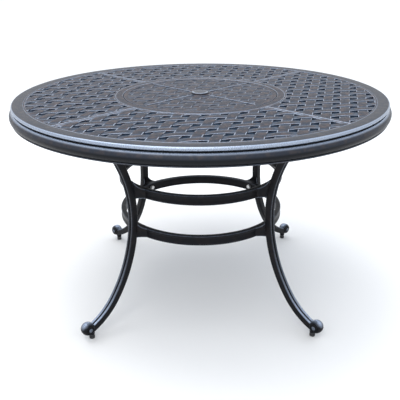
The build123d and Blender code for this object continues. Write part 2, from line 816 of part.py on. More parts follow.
def make_hoop(height, name):
    """One hoop at its height above the floor."""
    with BuildPart() as hoop:
        with BuildSketch(Plane((0, 0, height), x_dir=(1, 0, 0), z_dir=(0, -1, 0))):
            with BuildLine():
                Line((hoop_radius, hollow_top), (hoop_radius, half_hoop - hoop_corner))
                CenterArc((hoop_radius - hoop_corner, half_hoop - hoop_corner), hoop_corner, 0, 90)
                Line((hoop_radius - hoop_corner, half_hoop), (hoop_inside + hoop_corner, half_hoop))
                CenterArc((hoop_inside + hoop_corner, half_hoop - hoop_corner), hoop_corner, 90, 90)
                Line((hoop_inside, half_hoop - hoop_corner), (hoop_inside, hollow_top))
                ThreePointArc(
                    (hoop_inside, hollow_top),
                    (hoop_inside + hoop_inner_hollow, 0),
                    (hoop_inside, -hollow_top),
                )
                Line((hoop_inside, -hollow_top), (hoop_inside, hoop_corner - half_hoop))
                CenterArc((hoop_inside + hoop_corner, hoop_corner - half_hoop), hoop_corner, 180, 90)
                Line((hoop_inside + hoop_corner, -half_hoop), (hoop_radius - hoop_corner, -half_hoop))
                CenterArc((hoop_radius - hoop_corner, hoop_corner - half_hoop), hoop_corner, 270, 90)
                Line((hoop_radius, hoop_corner - half_hoop), (hoop_radius, -hollow_top))
                ThreePointArc(
                    (hoop_radius, -hollow_top),
                    (hoop_radius - hoop_outer_hollow, 0),
                    (hoop_radius, hollow_top),
                )
            make_face()
        revolve(axis=Axis.Z)
        for azimuth in CORNERS.values():
            with BuildSketch(radial_plane(hole_start, azimuth, height)):
                Circle(hollow_top + spot_face_margin)
            extrude(amount=spot_face_radius - hole_start, mode=Mode.SUBTRACT)
            with BuildSketch(radial_plane(hole_start, azimuth, height)):
                Circle(bolt_radius + hole_clearance)
            extrude(amount=hole_length, mode=Mode.SUBTRACT)
    save(hoop, name)


make_hoop(upper_hoop_height, "upper_hoop")
make_hoop(lower_hoop_height, "lower_hoop")

# Hoop bolts and washers, one set for each hoop
bolt_seat_radius = spot_face_radius - washer_thickness
for name, height in (("upper_hoop", upper_hoop_height), ("lower_hoop", lower_hoop_height)):
    length = leg_radius(height) - half_depth + hoop_bolt_engagement - bolt_seat_radius
    bolt_seats = [radial_plane(bolt_seat_radius, azimuth, height) for azimuth in CORNERS.values()]
    washer_seats = [radial_plane(spot_face_radius, azimuth, height) for azimuth in CORNERS.values()]
    save_group(hex_bolt(length), bolt_seats, f"{name}_bolts")
    save_group(washer(), washer_seats, f"{name}_washers")

# Leg bolts and washers under the flanges
flange_underside = flange_top - flange_thickness
leg_bolt_azimuths = [degrees(asin(offset / hypot(radius, offset))) for radius, offset in leg_bolt_points]
leg_bolt_plan = [
    polar(hypot(*point), azimuth + turned)
    for azimuth in CORNERS.values()
    for point, turned in zip(leg_bolt_points, leg_bolt_azimuths)
]
leg_bolt_length = washer_thickness + flange_thickness + leg_bolt_engagement
leg_bolt_seats = [Plane((x, y, flange_underside - washer_thickness)) for x, y in leg_bolt_plan]
leg_washer_seats = [Plane((x, y, flange_underside)) for x, y in leg_bolt_plan]
save_group(hex_bolt(leg_bolt_length), leg_bolt_seats, "leg_bolts")
save_group(washer(), leg_washer_seats, "leg_bolt_washers")

# Threaded bushes pressed into the feet
stem_radius = stem_diameter / 2
with BuildPart() as bushes:
    with BuildSketch(Plane.XY.offset(foot_boss_height)):
        with PolarLocations(foot_position, len(CORNERS), start_angle=DIAGONALS[0]):
            Circle(bush_diameter / 2)
            Circle(stem_radius + thread_clearance, mode=Mode.SUBTRACT)
    extrude(amount=bush_length)
save(bushes, "foot_bushes")

# Levelling feet: steel stem with a hexagon collar, in a nylon pad
collar_top = foot_boss_height - seat_gap
pad_top = collar_top - collar_height
for corner, azimuth in CORNERS.items():
    foot_point = polar(foot_position, azimuth)
    with BuildPart() as stem:
        with BuildSketch(Plane.XY.offset(pad_floor)):
            with Locations(foot_point):
                Circle(stem_radius)
        extrude(amount=foot_boss_height + stem_reach - pad_floor)
        with BuildSketch(Plane.XY.offset(pad_top)):
            with Locations(foot_point):
                RegularPolygon(collar_width / 2, 6, major_radius=False)
        extrude(amount=collar_height)
    save(stem, f"leveller_stem_{corner}")
    with BuildPart() as pad:
        with BuildSketch():
            with Locations(foot_point):
                Circle(pad_diameter / 2)
        extrude(amount=pad_top)
        chamfer(pad.edges().filter_by(GeomType.CIRCLE), length=pad_edge)
        with BuildSketch(Plane.XY.offset(pad_floor)):
            with Locations(foot_point):
                Circle(stem_radius)
        extrude(amount=pad_top - pad_floor, mode=Mode.SUBTRACT)
    save(pad, f"glide_pad_{corner}")
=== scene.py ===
# %% [markdown]
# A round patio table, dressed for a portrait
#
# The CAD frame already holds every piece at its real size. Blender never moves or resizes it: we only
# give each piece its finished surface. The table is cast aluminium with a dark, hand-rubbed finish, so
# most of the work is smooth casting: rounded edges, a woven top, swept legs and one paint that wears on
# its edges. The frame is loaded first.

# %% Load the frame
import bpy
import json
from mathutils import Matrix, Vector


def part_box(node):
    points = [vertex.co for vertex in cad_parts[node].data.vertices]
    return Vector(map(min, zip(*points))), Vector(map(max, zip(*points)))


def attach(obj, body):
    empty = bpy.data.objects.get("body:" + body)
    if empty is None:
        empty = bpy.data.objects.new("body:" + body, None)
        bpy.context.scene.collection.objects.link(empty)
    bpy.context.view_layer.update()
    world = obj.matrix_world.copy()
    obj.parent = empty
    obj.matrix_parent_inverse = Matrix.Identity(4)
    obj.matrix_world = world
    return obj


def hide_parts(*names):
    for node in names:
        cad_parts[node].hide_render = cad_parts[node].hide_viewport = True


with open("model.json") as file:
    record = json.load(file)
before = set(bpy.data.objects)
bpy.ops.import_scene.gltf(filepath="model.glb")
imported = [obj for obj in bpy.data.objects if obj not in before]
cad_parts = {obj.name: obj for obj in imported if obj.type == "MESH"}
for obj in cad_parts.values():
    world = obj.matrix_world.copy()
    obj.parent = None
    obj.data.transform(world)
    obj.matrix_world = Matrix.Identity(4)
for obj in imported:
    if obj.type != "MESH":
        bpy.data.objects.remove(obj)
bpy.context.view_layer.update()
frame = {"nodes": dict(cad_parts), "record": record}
print("nodes:", len(frame["nodes"]))

# %% [markdown]
# Units and directions
#
# Shapes are worked out in millimetres, as on a pattern maker's drawing, and Blender's scene is in metres,
# so one factor turns the first into the second. The legs stand on the table's diagonals and the quarters
# of the top lie between them. Their azimuths are written once, in degrees from the right-hand side, and
# every piece that repeats is placed with them.

# %% Units and directions
import json
from math import asin, cos, degrees, radians, sin, sqrt, tan

import bmesh
import bpy
import numpy as np
from mathutils import Matrix, Vector

MM = 0.001
CORNERS = {"front_left": 225, "front_right": 315, "back_right": 45, "back_left": 135}
SIDES = {"front": 270, "right": 0, "back": 90, "left": 180}
print("legs at", sorted(CORNERS.values()), "and panels at", sorted(SIDES.values()), "degrees")

# %% [markdown]
# Main sizes
#
# A dressed piece has to sit exactly on its CAD solid. Outer sizes are therefore read from the boxes of
# the nodes. Only what a box can't tell, such as the width of a bead, is written as a named value in
# millimetres, in the cell that first needs it.

# %% Main sizes
rim_low, rim_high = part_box("rim_hoop")
panel_low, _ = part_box("top_panel_front")
table_height = rim_high.z / MM
rim_radius = rim_high.x / MM
rim_bottom = rim_low.z / MM
ledge_top = panel_low.z / MM
panel_outer_radius = -panel_low.y / MM
panel_inner_radius = 277.0
print(f"table {2 * rim_radius:.1f} mm across and {table_height:.1f} mm high")

# %% [markdown]
# Helpers for shader nodes
#
# A finish is a tree of small nodes: one makes noise, one stretches a range, one mixes two colours. In the
# node editor they are dragged in and wired by hand. A script needs several lines for each, so every
# helper here adds one node, fills in its sockets and gives back its output, ready for the next.

# %% Node helpers
def add_node(tree, kind, **settings):
    """One new node, with its plain properties set."""
    node = tree.nodes.new(kind)
    for key, value in settings.items():
        setattr(node, key, value)
    return node


def feed(tree, socket, value):
    """Joins an output to a socket, or writes a plain number or colour into it."""
    if isinstance(value, bpy.types.NodeSocket):
        tree.links.new(value, socket)
    elif isinstance(value, tuple):
        socket.default_value = (*value, 1)
    else:
        socket.default_value = value


def noise(tree, vector, scale, detail, roughness=0.5):
    """Noise over the object's own coordinates, in features per metre."""
    node = add_node(tree, "ShaderNodeTexNoise")
    sockets = {"Vector": vector, "Scale": scale, "Detail": detail, "Roughness": roughness}
    for name, value in sockets.items():
        feed(tree, node.inputs[name], value)
    return node.outputs["Fac"]


def spread(tree, value, low, high, new_low=0.0, new_high=1.0):
    """A value stretched from one range to another along a smooth step, and kept inside it."""
    node = add_node(tree, "ShaderNodeMapRange", interpolation_type="SMOOTHSTEP")
    limits = {"From Min": low, "From Max": high, "To Min": new_low, "To Max": new_high}
    for name, number in limits.items():
        feed(tree, node.inputs[name], number)
    feed(tree, node.inputs["Value"], value)
    return node.outputs["Result"]


def calculate(tree, operation, first, second):
    """Arithmetic on two values, each a socket or a number."""
    node = add_node(tree, "ShaderNodeMath", operation=operation)
    for socket, value in zip(node.inputs, (first, second)):
        feed(tree, socket, value)
    return node.outputs["Value"]


def blend_colour(tree, amount, first, second):
    """Mix of two colours, each a socket or plain red, green and blue."""
    node = add_node(tree, "ShaderNodeMix", data_type="RGBA")
    for name, value in (("Factor", amount), ("A", first), ("B", second)):
        feed(tree, node.inputs[name], value)
    return node.outputs["Result"]


print("node helpers for Blender", bpy.app.version_string)

# %% [markdown]
# The rubbed cast finish, with painted light and shade
#
# The real paint is a near-black coat, wiped with a warm brown, rubbed thin along the edges and left thick
# in the hollows. One flat colour would look like plastic, and a painted picture would not fit every
# piece. Blender can also find edges by itself, but what it finds depends on how finely a mesh is divided.
# So every mesh brings a number for each of its points, its wear and light, and one node group mixes the
# finish from it. The number holds real rubbing. It is also raised where a highlight is painted and
# lowered where shade is painted. High values bare the metal, values about nought leave the coat with its
# brown wipe, and values below nought show the hollow colour: pooled paint, and painted shade in recesses.
# The group is built once, and each material places it with colours of its own.

# %% Sockets of the rubbed cast group
FLOAT = "NodeSocketFloat"
COLOUR = "NodeSocketColor"
VECTOR = "NodeSocketVector"
CAST_COLOURS = ("Coat", "Wipe", "Bare", "Hollow_shade")


def new_group(name, inputs, outputs):
    """Empty shader group with its sockets, and the sockets of its own input and output nodes."""
    group = bpy.data.node_groups.new(name, "ShaderNodeTree")
    for title, kind in inputs.items():
        group.interface.new_socket(title, in_out="INPUT", socket_type=kind)
    for title, kind in outputs.items():
        group.interface.new_socket(title, in_out="OUTPUT", socket_type=kind)
    return group, add_node(group, "NodeGroupInput").outputs, add_node(group, "NodeGroupOutput").inputs


rubbed_and_lit_cast, cast_in, cast_out = new_group(
    "rubbed_and_lit_cast",
    {"Vector": VECTOR, "Wear_and_light": FLOAT, "Patchiness": FLOAT, **dict.fromkeys(CAST_COLOURS, COLOUR)},
    {"Color": COLOUR, "Roughness": FLOAT, "Metal": FLOAT, "Height": FLOAT},
)
print("group rubbed_and_lit_cast takes", [socket.name for socket in cast_in if socket.name])

# %% [markdown]
# Coat, brown wipe, pooled paint and painted shade
#
# The wipe is a rag's work: broad clouds of brown, with speckles where the sprayed coat was rough. One
# noise gives either clouds or speckles, so two noises of very different scale are laid over each other.
# In a hollow the rag doesn't reach, so there the wipe fades out and the hollow colour takes over: pooled
# paint, and painted shade in recesses.

# %% Painted coat
NOISE_ROUGHNESS = 0.6
CLOUD_SCALE = 55.0
CLOUD_DETAIL = 5
CLOUD_RANGE = (0.43, 0.62)
CLOUD_STRENGTH = 0.85
SPECKLE_SCALE = 520.0
SPECKLE_DETAIL = 3
SPECKLE_RANGE = (0.44, 0.66)
SPECKLE_SHARE = 0.3
POOL_AND_SHADE_WEAR = -0.35
clouds = noise(rubbed_and_lit_cast, cast_in["Vector"], CLOUD_SCALE, CLOUD_DETAIL, NOISE_ROUGHNESS)
clouds = spread(rubbed_and_lit_cast, clouds, *CLOUD_RANGE, 0.0, CLOUD_STRENGTH)
speckles = noise(rubbed_and_lit_cast, cast_in["Vector"], SPECKLE_SCALE, SPECKLE_DETAIL, NOISE_ROUGHNESS)
speckles = spread(rubbed_and_lit_cast, speckles, *SPECKLE_RANGE)
# Below nought the hollow colour mixes in: pooled paint, and painted shade in recesses.
pooled_and_shade = spread(rubbed_and_lit_cast, cast_in["Wear_and_light"], POOL_AND_SHADE_WEAR, 0.0, 1.0, 0.0)
reached = calculate(rubbed_and_lit_cast, "SUBTRACT", 1.0, pooled_and_shade)
wiped = calculate(rubbed_and_lit_cast, "MULTIPLY", speckles, SPECKLE_SHARE)
wiped = calculate(rubbed_and_lit_cast, "MAXIMUM", clouds, wiped)
wiped = calculate(rubbed_and_lit_cast, "MULTIPLY", wiped, reached)
painted = blend_colour(rubbed_and_lit_cast, wiped, cast_in["Coat"], cast_in["Wipe"])
painted = blend_colour(rubbed_and_lit_cast, pooled_and_shade, painted, cast_in["Hollow_shade"])
print("painted coat:", len(rubbed_and_lit_cast.nodes), "nodes")

# %% [markdown]
# Bare metal, gloss and grain
#
# Rubbing isn't even, so a third noise makes some patches of an edge barer than others, as much as the
# material's patchiness says. Bare metal is smoother than paint and reflects like metal, and the wiped
# brown has a little metal in it too. The same noises make the sandy skin of a casting. Real bumps that
# small would need millions of faces, so the skin is only a height for the shader.

# %% Bare metal, gloss and grain
PATCH_SCALE = 170.0
PATCH_DETAIL = 4
FULL_PATCH = 0.75
WORN_RANGE = (0.25, 0.95)
COAT_ROUGHNESS = (0.34, 0.48)
RUBBED_SMOOTHING = 0.14
BARE_METAL = 0.85
WIPED_METAL = 0.45
PATCH_GRAIN = 0.7
SPECKLE_GRAIN = 0.5
patches = noise(rubbed_and_lit_cast, cast_in["Vector"], PATCH_SCALE, PATCH_DETAIL, NOISE_ROUGHNESS)
uneven = calculate(rubbed_and_lit_cast, "SUBTRACT", patches, FULL_PATCH)
uneven = calculate(rubbed_and_lit_cast, "MULTIPLY", uneven, cast_in["Patchiness"])
uneven = calculate(rubbed_and_lit_cast, "ADD", uneven, 1.0)
worn = calculate(rubbed_and_lit_cast, "MULTIPLY", cast_in["Wear_and_light"], uneven)
# High values bare the metal: on rubbed edges, and also where a highlight is painted.
worn = spread(rubbed_and_lit_cast, worn, *WORN_RANGE)
feed(rubbed_and_lit_cast, cast_out["Color"], blend_colour(rubbed_and_lit_cast, worn, painted, cast_in["Bare"]))
coat_roughness = spread(rubbed_and_lit_cast, speckles, 0.0, 1.0, *COAT_ROUGHNESS)
smoothing = calculate(rubbed_and_lit_cast, "MULTIPLY", worn, RUBBED_SMOOTHING)
feed(rubbed_and_lit_cast, cast_out["Roughness"], calculate(rubbed_and_lit_cast, "SUBTRACT", coat_roughness, smoothing))
bare_metal = calculate(rubbed_and_lit_cast, "MULTIPLY", worn, BARE_METAL)
wiped_metal = calculate(rubbed_and_lit_cast, "MULTIPLY", wiped, WIPED_METAL)
feed(rubbed_and_lit_cast, cast_out["Metal"], calculate(rubbed_and_lit_cast, "MAXIMUM", bare_metal, wiped_metal))
patch_grain = calculate(rubbed_and_lit_cast, "MULTIPLY", patches, PATCH_GRAIN)
speckle_grain = calculate(rubbed_and_lit_cast, "MULTIPLY", speckles, SPECKLE_GRAIN)
feed(rubbed_and_lit_cast, cast_out["Height"], calculate(rubbed_and_lit_cast, "ADD", patch_grain, speckle_grain))
print("group rubbed_and_lit_cast:", len(rubbed_and_lit_cast.nodes), "nodes")

# %% [markdown]
# Cast materials
#
# A material is a thin wrapper: a Principled shader, the group in front of it, and a Bump node that turns
# the group's height into fine relief. The shader stays outside the group, where the export can read it.
# Each piece could have a whole tree of its own, but then one change of the paint would mean four changes.

# %% Material helpers
GRAIN_DEPTH = 0.5 * MM


def start_material(name):
    """A new node material and its Principled shader."""
    material = bpy.data.materials.new(name)
    material.use_nodes = True
    return material, material.node_tree.nodes["Principled BSDF"]


def place_group(material, group):
    """The group inside a material, fed with the object's own coordinates."""
    node = add_node(material.node_tree, "ShaderNodeGroup", node_tree=group)
    place = add_node(material.node_tree, "ShaderNodeTexCoord")
    feed(material.node_tree, node.inputs["Vector"], place.outputs["Object"])
    return node


def raise_grain(material, height, shader, strength, depth):
    """Fine relief: a Bump node between a height and the shader's normal."""
    bump = add_node(material.node_tree, "ShaderNodeBump")
    for name, value in (("Strength", strength), ("Distance", depth), ("Height", height)):
        feed(material.node_tree, bump.inputs[name], value)
    feed(material.node_tree, shader.inputs["Normal"], bump.outputs["Normal"])


def cast_finish(name, colours, patchiness, specular, grain):
    """A rubbed cast material with its own coat, brown wipe, bare metal and hollow colour, in that order,
    and its own patchiness, gloss and depth of grain. The hollow colour is pooled paint and painted shade."""
    material, shader = start_material(name)
    tree = material.node_tree
    group = place_group(material, rubbed_and_lit_cast)
    # This point attribute carries real rubbing and painted light and shade together.
    wear_and_light = add_node(tree, "ShaderNodeAttribute", attribute_name="wear_and_light")
    feed(tree, group.inputs["Wear_and_light"], wear_and_light.outputs["Fac"])
    feed(tree, group.inputs["Patchiness"], patchiness)
    for title, colour in zip(CAST_COLOURS, colours):
        feed(tree, group.inputs[title], colour)
    for output, socket in (("Color", "Base Color"), ("Roughness", "Roughness"), ("Metal", "Metallic")):
        feed(tree, shader.inputs[socket], group.outputs[output])
    shader.inputs["Specular IOR Level"].default_value = specular
    raise_grain(material, group.outputs["Height"], shader, grain, GRAIN_DEPTH)
    return material


print("a cast finish takes", CAST_COLOURS)

# %% [markdown]
# The woven top
#
# The top copies a basket: two families of flat straps cross at a slant, each passing over one and under
# the next, with a slanted hole between every four crossings. Woven ribbons would need hundreds of
# overlapping pieces, and the real top is one casting. So we describe its upper face as a height, over
# places that are measured in steps along the two straps: a hole sits at each whole number and a crossing
# halfway between.

# %% Strap lattice and finish
strap_a_angle = 10.2
strap_a_pitch = 56.2
strap_b_angle = 76.4
strap_b_pitch = 57.0
strap_width = 30.0
first_hole = np.array([42.5, -387.8])


def slanted(angle, length):
    """Step of a length at an angle in degrees: the length times the angle's cosine and sine."""
    return length * np.array([cos(radians(angle)), sin(radians(angle))])


strap_a = slanted(strap_a_angle, strap_a_pitch)
strap_b = slanted(strap_b_angle, strap_b_pitch)
strap_along = strap_width / sin(radians(strap_b_angle - strap_a_angle))
half_a = strap_along / 2 / strap_b_pitch
half_b = strap_along / 2 / strap_a_pitch
# The blue in the coat and the bare metal is a painted reflection of the sky. The hollow colour, lighter and
# bluer than the coat, is painted shade with a painted sky reflection for the holes and low stretches.
woven_finish = cast_finish(
    "woven_top_cast",
    [(0.009, 0.0145, 0.0255), (0.059, 0.037, 0.034), (0.40, 0.46, 0.56), (0.032, 0.050, 0.079)],
    patchiness=0.6,
    specular=0.10,
    grain=0.35,
)
print(f"strap half widths in steps: {half_a:.3f} and {half_b:.3f}, finish {woven_finish.name}")

# %% [markdown]
# Height, rub and painted light of the weave
#
# Along its length a strap rises and dives like a wave, and across its width it is nearly flat, with
# rounded shoulders. Where two straps cross, the casting shows the higher one. A grey picture could carry
# these heights, but a formula stays sharp at any size. It also tells where hands and cloths rub: the long
# edges that stand high and the edges beside the holes are bared. The long edges of the straps that run
# across the view get more, as a painted highlight where they face the camera and catch the sky. The low
# stretches and the holes get painted shade.

# %% Weave height and wear
WAVE_FLATNESS = 1.7
CROWN = 0.10
SHOULDER_START = 0.62
SHOULDER_DROP = 0.34
NO_STRAP = -1.0
# Painted shade for the holes and the low stretches, and rub with painted highlight for the strap edges.
HOLE_SHADE_WEAR = -1.0
RUBBED_FROM = 0.72
RUBBED_RAMP = 0.16
RUBBED_STOP = 0.06
STRAP_A_RUB_AND_HIGHLIGHT = 1.1
STRAP_B_RUB_AND_HIGHLIGHT = 0.4
HOLE_EDGE_RUB = 0.95
LOW_STRETCH_SHADE = 0.30


def across_strap(steps, half):
    """Distance from a strap's middle line, as a share of its half width: how far the fraction of a step
    lies from one half, over the half width."""
    return np.abs(steps - np.floor(steps) - 0.5) / half


def strap_wave(phase):
    """Lift of a strap along its length: a cosine wave, flattened by a hyperbolic tangent, from 0 where it
    dives to 1 where it passes over."""
    return 0.5 + 0.5 * np.tanh(WAVE_FLATNESS * np.cos(np.pi * phase)) / np.tanh(WAVE_FLATNESS)


def strap_height(lift, across):
    """Height of a strap: its lift, less a slight crown that grows with the square of the distance across,
    less a quarter-round shoulder."""
    inside = np.minimum(across, 1)
    shoulder = np.clip((inside - SHOULDER_START) / (1 - SHOULDER_START), 0, 1)
    fall = CROWN * inside**2 + SHOULDER_DROP * (1 - np.sqrt(1 - shoulder**2))
    return np.where(across <= 1, lift - fall, NO_STRAP)


def weave(u, v):
    """Height of the weave at steps u and v along the straps, with its rub and painted light. The higher
    strap shows. Its value is the band beside its edges times its rub and highlight, which is its lift times
    the share of its family, larger for the family whose long edges face the camera, or a fixed share beside
    a hole. Away from the edges the value falls below nought as the strap dives, as painted shade."""
    across_a, across_b = across_strap(v, half_a), across_strap(u, half_b)
    lift_a, lift_b = strap_wave(u - 0.5 + np.floor(v)), strap_wave(v + 0.5 + np.floor(u))
    height_a, height_b = strap_height(lift_a, across_a), strap_height(lift_b, across_b)
    top_a = height_a >= height_b
    height = np.where(top_a, height_a, height_b)
    lift = np.where(top_a, lift_a, lift_b)
    across = np.where(top_a, across_a, across_b)
    edge = np.clip((across - RUBBED_FROM) / RUBBED_RAMP, 0, 1) * np.clip((1 - across) / RUBBED_STOP, 0, 1)
    beside_hole = np.where(top_a, across_b, across_a) > 1
    # Painted highlight: the family whose long edges face the camera and catch the sky gets the larger share.
    rub_and_highlight = np.maximum(lift * np.where(top_a, STRAP_A_RUB_AND_HIGHLIGHT, STRAP_B_RUB_AND_HIGHLIGHT), HOLE_EDGE_RUB * beside_hole)
    # Painted shade in the low stretches, where a strap dives.
    wear_and_light = edge * rub_and_highlight - LOW_STRETCH_SHADE * (1 - lift) * (1 - edge)
    return height, np.where(height > NO_STRAP, wear_and_light, HOLE_SHADE_WEAR)


crossing_height, crossing_wear = weave(np.array([0.5]), np.array([0.5]))
print("middle of a crossing: height", crossing_height.round(2), "wear_and_light", crossing_wear.round(2))

# %% [markdown]
# A grid that follows the straps
#
# A square grid would cut every strap's edge into a staircase. Our grid runs along the straps instead,
# with its lines close together on the shoulders, where the surface bends, and far apart on the flat
# crown. Cells that lie on no strap are left out, and those are the holes.

# %% Grid over the straps
EDGE = 0.006
STRAP_LINES = np.array([EDGE, 0.03, 0.07, 0.13, 0.20, 0.30, 0.45, 0.70])
GAP_LINES = 5


def strap_lines(low, high, half):
    """Grid lines over whole cells: a half step plus the strap's lines and the gap's lines times the half
    width."""
    on_strap = np.concatenate([STRAP_LINES - 1, [0], 1 - STRAP_LINES[::-1]])
    in_gap = np.linspace(1 + EDGE, 1 / half - 1 - EDGE, GAP_LINES)
    cells = np.arange(int(np.floor(low)), int(np.ceil(high)) + 1)
    return (cells[:, None] + 0.5 + half * np.concatenate([on_strap, in_gap])).ravel()


def weave_grid(reach):
    """Grid over the straps that covers a square of a half width: the steps of its points, and their
    places, which are the first hole plus the steps times the straps."""
    square = reach * np.array([(-1, -1), (1, -1), (1, 1), (-1, 1)])
    steps = np.linalg.solve(np.column_stack([strap_a, strap_b]), (square - first_hole).T)
    u = strap_lines(steps[0].min() - 1, steps[0].max() + 1, half_b)
    v = strap_lines(steps[1].min() - 1, steps[1].max() + 1, half_a)
    u, v = np.meshgrid(u, v, indexing="ij")
    return u, v, first_hole + u[..., None] * strap_a + v[..., None] * strap_b


def cell_middles(values):
    """Middle of each cell of a grid: the mean of two opposite corners."""
    return (values[:-1, :-1] + values[1:, 1:]) / 2


def on_straps(u, v):
    """Whether each cell of the grid lies on a strap: its middle is inside the strap's edge on either
    family."""
    inside = 1 - EDGE / 2
    return (across_strap(cell_middles(v), half_a) < inside) | (across_strap(cell_middles(u), half_b) < inside)


print("a step of the weave has", len(strap_lines(0, 0, half_a)), "grid lines")

# %% [markdown]
# From a height to a closed casting
#
# A height alone is a skin without thickness. A Solidify modifier would thicken it, but slanted, and we
# want upright walls in the holes as a mould leaves them. So we copy the kept cells flat at the bottom and
# drop a wall from every edge that belongs to only one kept cell.

# %% Closed sheet
# The underside gets painted shade, and each wall darkens down towards it, so that the holes look shaded.
UNDERSIDE_SHADE = -0.6


def sheet_shell(places, heights, wear_and_light, kept, bottom):
    """Closed casting under a height grid: the kept faces, the same faces flat at the bottom, and walls
    down from every edge that only one kept face has."""
    rows, columns = heights.shape
    index = np.arange(rows * columns).reshape(rows, columns)
    quads = np.stack([index[:-1, :-1], index[1:, :-1], index[1:, 1:], index[:-1, 1:]], axis=-1)[kept]
    used, quads = np.unique(quads, return_inverse=True)
    quads = quads.reshape(-1, 4)
    top = np.column_stack([places.reshape(-1, 2)[used], heights.ravel()[used]])
    base = top * [1, 1, 0] + [0, 0, bottom]
    edges = np.stack([quads, np.roll(quads, -1, axis=1)], axis=-1).reshape(-1, 2)
    _, first, count = np.unique(np.sort(edges, axis=1), axis=0, return_index=True, return_counts=True)
    rims = edges[first[count == 1]]
    walls = np.column_stack([rims[:, 1], rims[:, 0], rims[:, 0] + len(used), rims[:, 1] + len(used)])
    faces = np.concatenate([quads, quads[:, ::-1] + len(used), walls])
    worn = np.concatenate([wear_and_light.ravel()[used], np.full(len(used), UNDERSIDE_SHADE)])
    return np.concatenate([top, base]), faces, worn


one_cell = np.stack(np.meshgrid([0.0, 1.0], [0.0, 1.0]), axis=-1)
one_block = sheet_shell(one_cell, np.ones((2, 2)), np.zeros((2, 2)), np.ones((1, 1), bool), 0.0)
print("one cell closes into", len(one_block[1]), "faces")

# %% [markdown]
# Outlines with rounded corners
#
# Cast edges are never sharp: the mould needs a radius, and paint rounds it more. A Bevel modifier rounds
# every edge alike, but here each corner has its own radius and its own rub. So outlines are drawn with
# arcs from the start, and how sharply an outline turns tells how much its corner is rubbed, and how much
# painted shade a hollow in it gets.

# %% Outline helpers
ARC_STEPS = 7
FINE_ROUND = 0.4
EDGE_ROUND = 0.9
RUB_REACH = 2.0
TINY = 1e-6


def arc(centre, radius, start, end, count):
    """Arc: the centre plus the radius times the cosine and sine of evenly spaced angles, in degrees."""
    turn = np.radians(np.linspace(start, end, count))
    return np.column_stack([centre[0] + radius * np.cos(turn), centre[1] + radius * np.sin(turn)])


def unit(vectors):
    """Vectors over their own lengths."""
    return vectors / np.linalg.norm(vectors, axis=1, keepdims=True)


def rounded(corners, count=ARC_STEPS):
    """Closed outline from corners, each with its rounding: an arc tangent to both sides takes the
    corner's place. Its centre lies on the corner's bisector, at the rounding over the sine of half the
    corner's angle."""
    corners = np.array(corners, float)
    corners, radius = corners[:, :2], corners[:, 2:]
    back = unit(np.roll(corners, 1, axis=0) - corners)
    ahead = unit(np.roll(corners, -1, axis=0) - corners)
    half = np.arccos(np.clip((back * ahead).sum(axis=1, keepdims=True), -1, 1)) / 2
    centre = corners + unit(back + ahead) * radius / np.sin(half)
    start = corners + back * radius / np.tan(half) - centre
    end = corners + ahead * radius / np.tan(half) - centre
    first = np.arctan2(start[:, 1], start[:, 0])
    swing = np.arctan2(end[:, 1], end[:, 0]) - first
    swing = (swing + np.pi) % (2 * np.pi) - np.pi
    turn = first[:, None] + swing[:, None] * np.linspace(0, 1, count)
    points = centre[:, None, :] + radius[:, :, None] * np.stack([np.cos(turn), np.sin(turn)], axis=2)
    return points.reshape(-1, 2)


def exposure(outline, reach=RUB_REACH):
    """How exposed each point of a closed outline is to rubbing: its turning angle over the distance to
    its neighbours, times a reach in millimetres, from -1 in a hollow, which gets painted shade, to 1 on a
    sharp edge."""
    ahead = np.roll(outline, -1, axis=0) - outline
    back = outline - np.roll(outline, 1, axis=0)
    following = np.roll(outline, -1, axis=0)
    area = np.sum(outline[:, 0] * following[:, 1] - outline[:, 1] * following[:, 0])
    turn = np.arctan2(back[:, 0] * ahead[:, 1] - back[:, 1] * ahead[:, 0], (back * ahead).sum(axis=1))
    step = (np.linalg.norm(ahead, axis=1) + np.linalg.norm(back, axis=1)) / 2
    return np.clip(np.sign(area) * turn / np.maximum(step, TINY) * reach, -1, 1)


trial_outline = rounded([(0, 0, 2), (10, 0, 2), (10, 10, 2), (0, 10, 2)])
print("a rounded square has", len(trial_outline), "points, exposed", exposure(trial_outline).max().round(2))

# %% [markdown]
# Borders of the quarter panels
#
# The woven field is too wide for one casting, so it comes as four quarters, each with a plain raised
# border that stands a little wider along the diagonal seams. The border could be four bars with mitred
# ends. One section carried round a loop of two arcs and two straight sides has no joints to hide.

# %% Panel border
seam_border = 11.0
panel_border = 7.0
panel_seam = 1.6
border_seam_round = 1.3
border_window_round = 2.4
SIDE_STEPS = 56
# Rub and painted highlight on the border's top edges, and painted shade down its walls and in the seams.
BORDER_RUB_AND_HIGHLIGHT = 0.78
BORDER_RUB_DEPTH = 3.0
BORDER_WALL_SHADE = -0.8


def grid_quads(rows, columns, wrap_rows=False):
    """Faces of a grid whose columns close on themselves: each joins a point, the next one, and the two in
    the next row. The rows close as well where asked."""
    index = np.arange(rows * columns).reshape(rows, columns)
    if wrap_rows:
        index = np.vstack([index, index[:1]])
    index = np.hstack([index, index[:, :1]])
    return np.stack([index[:-1, :-1], index[:-1, 1:], index[1:, 1:], index[1:, :-1]], axis=-1).reshape(-1, 4)


def quarter_loop(azimuth, inner, outer, clearance):
    """Loop round a quarter of a ring, kept clear of both diagonals: on each arc the angle stops short of
    the diagonal by the arcsine of the clearance over the radius."""
    inner_end, outer_end = (45 - degrees(asin(clearance / radius)) for radius in (inner, outer))
    outside = arc((0, 0), outer, azimuth - outer_end, azimuth + outer_end, SIDE_STEPS)
    inside = arc((0, 0), inner, azimuth + inner_end, azimuth - inner_end, SIDE_STEPS)
    share = np.linspace(0, 1, SIDE_STEPS)[1:-1, None]
    inward = outside[-1] + (inside[0] - outside[-1]) * share
    outward = inside[-1] + (outside[0] - inside[-1]) * share
    return np.concatenate([outside, inward, inside, outward])


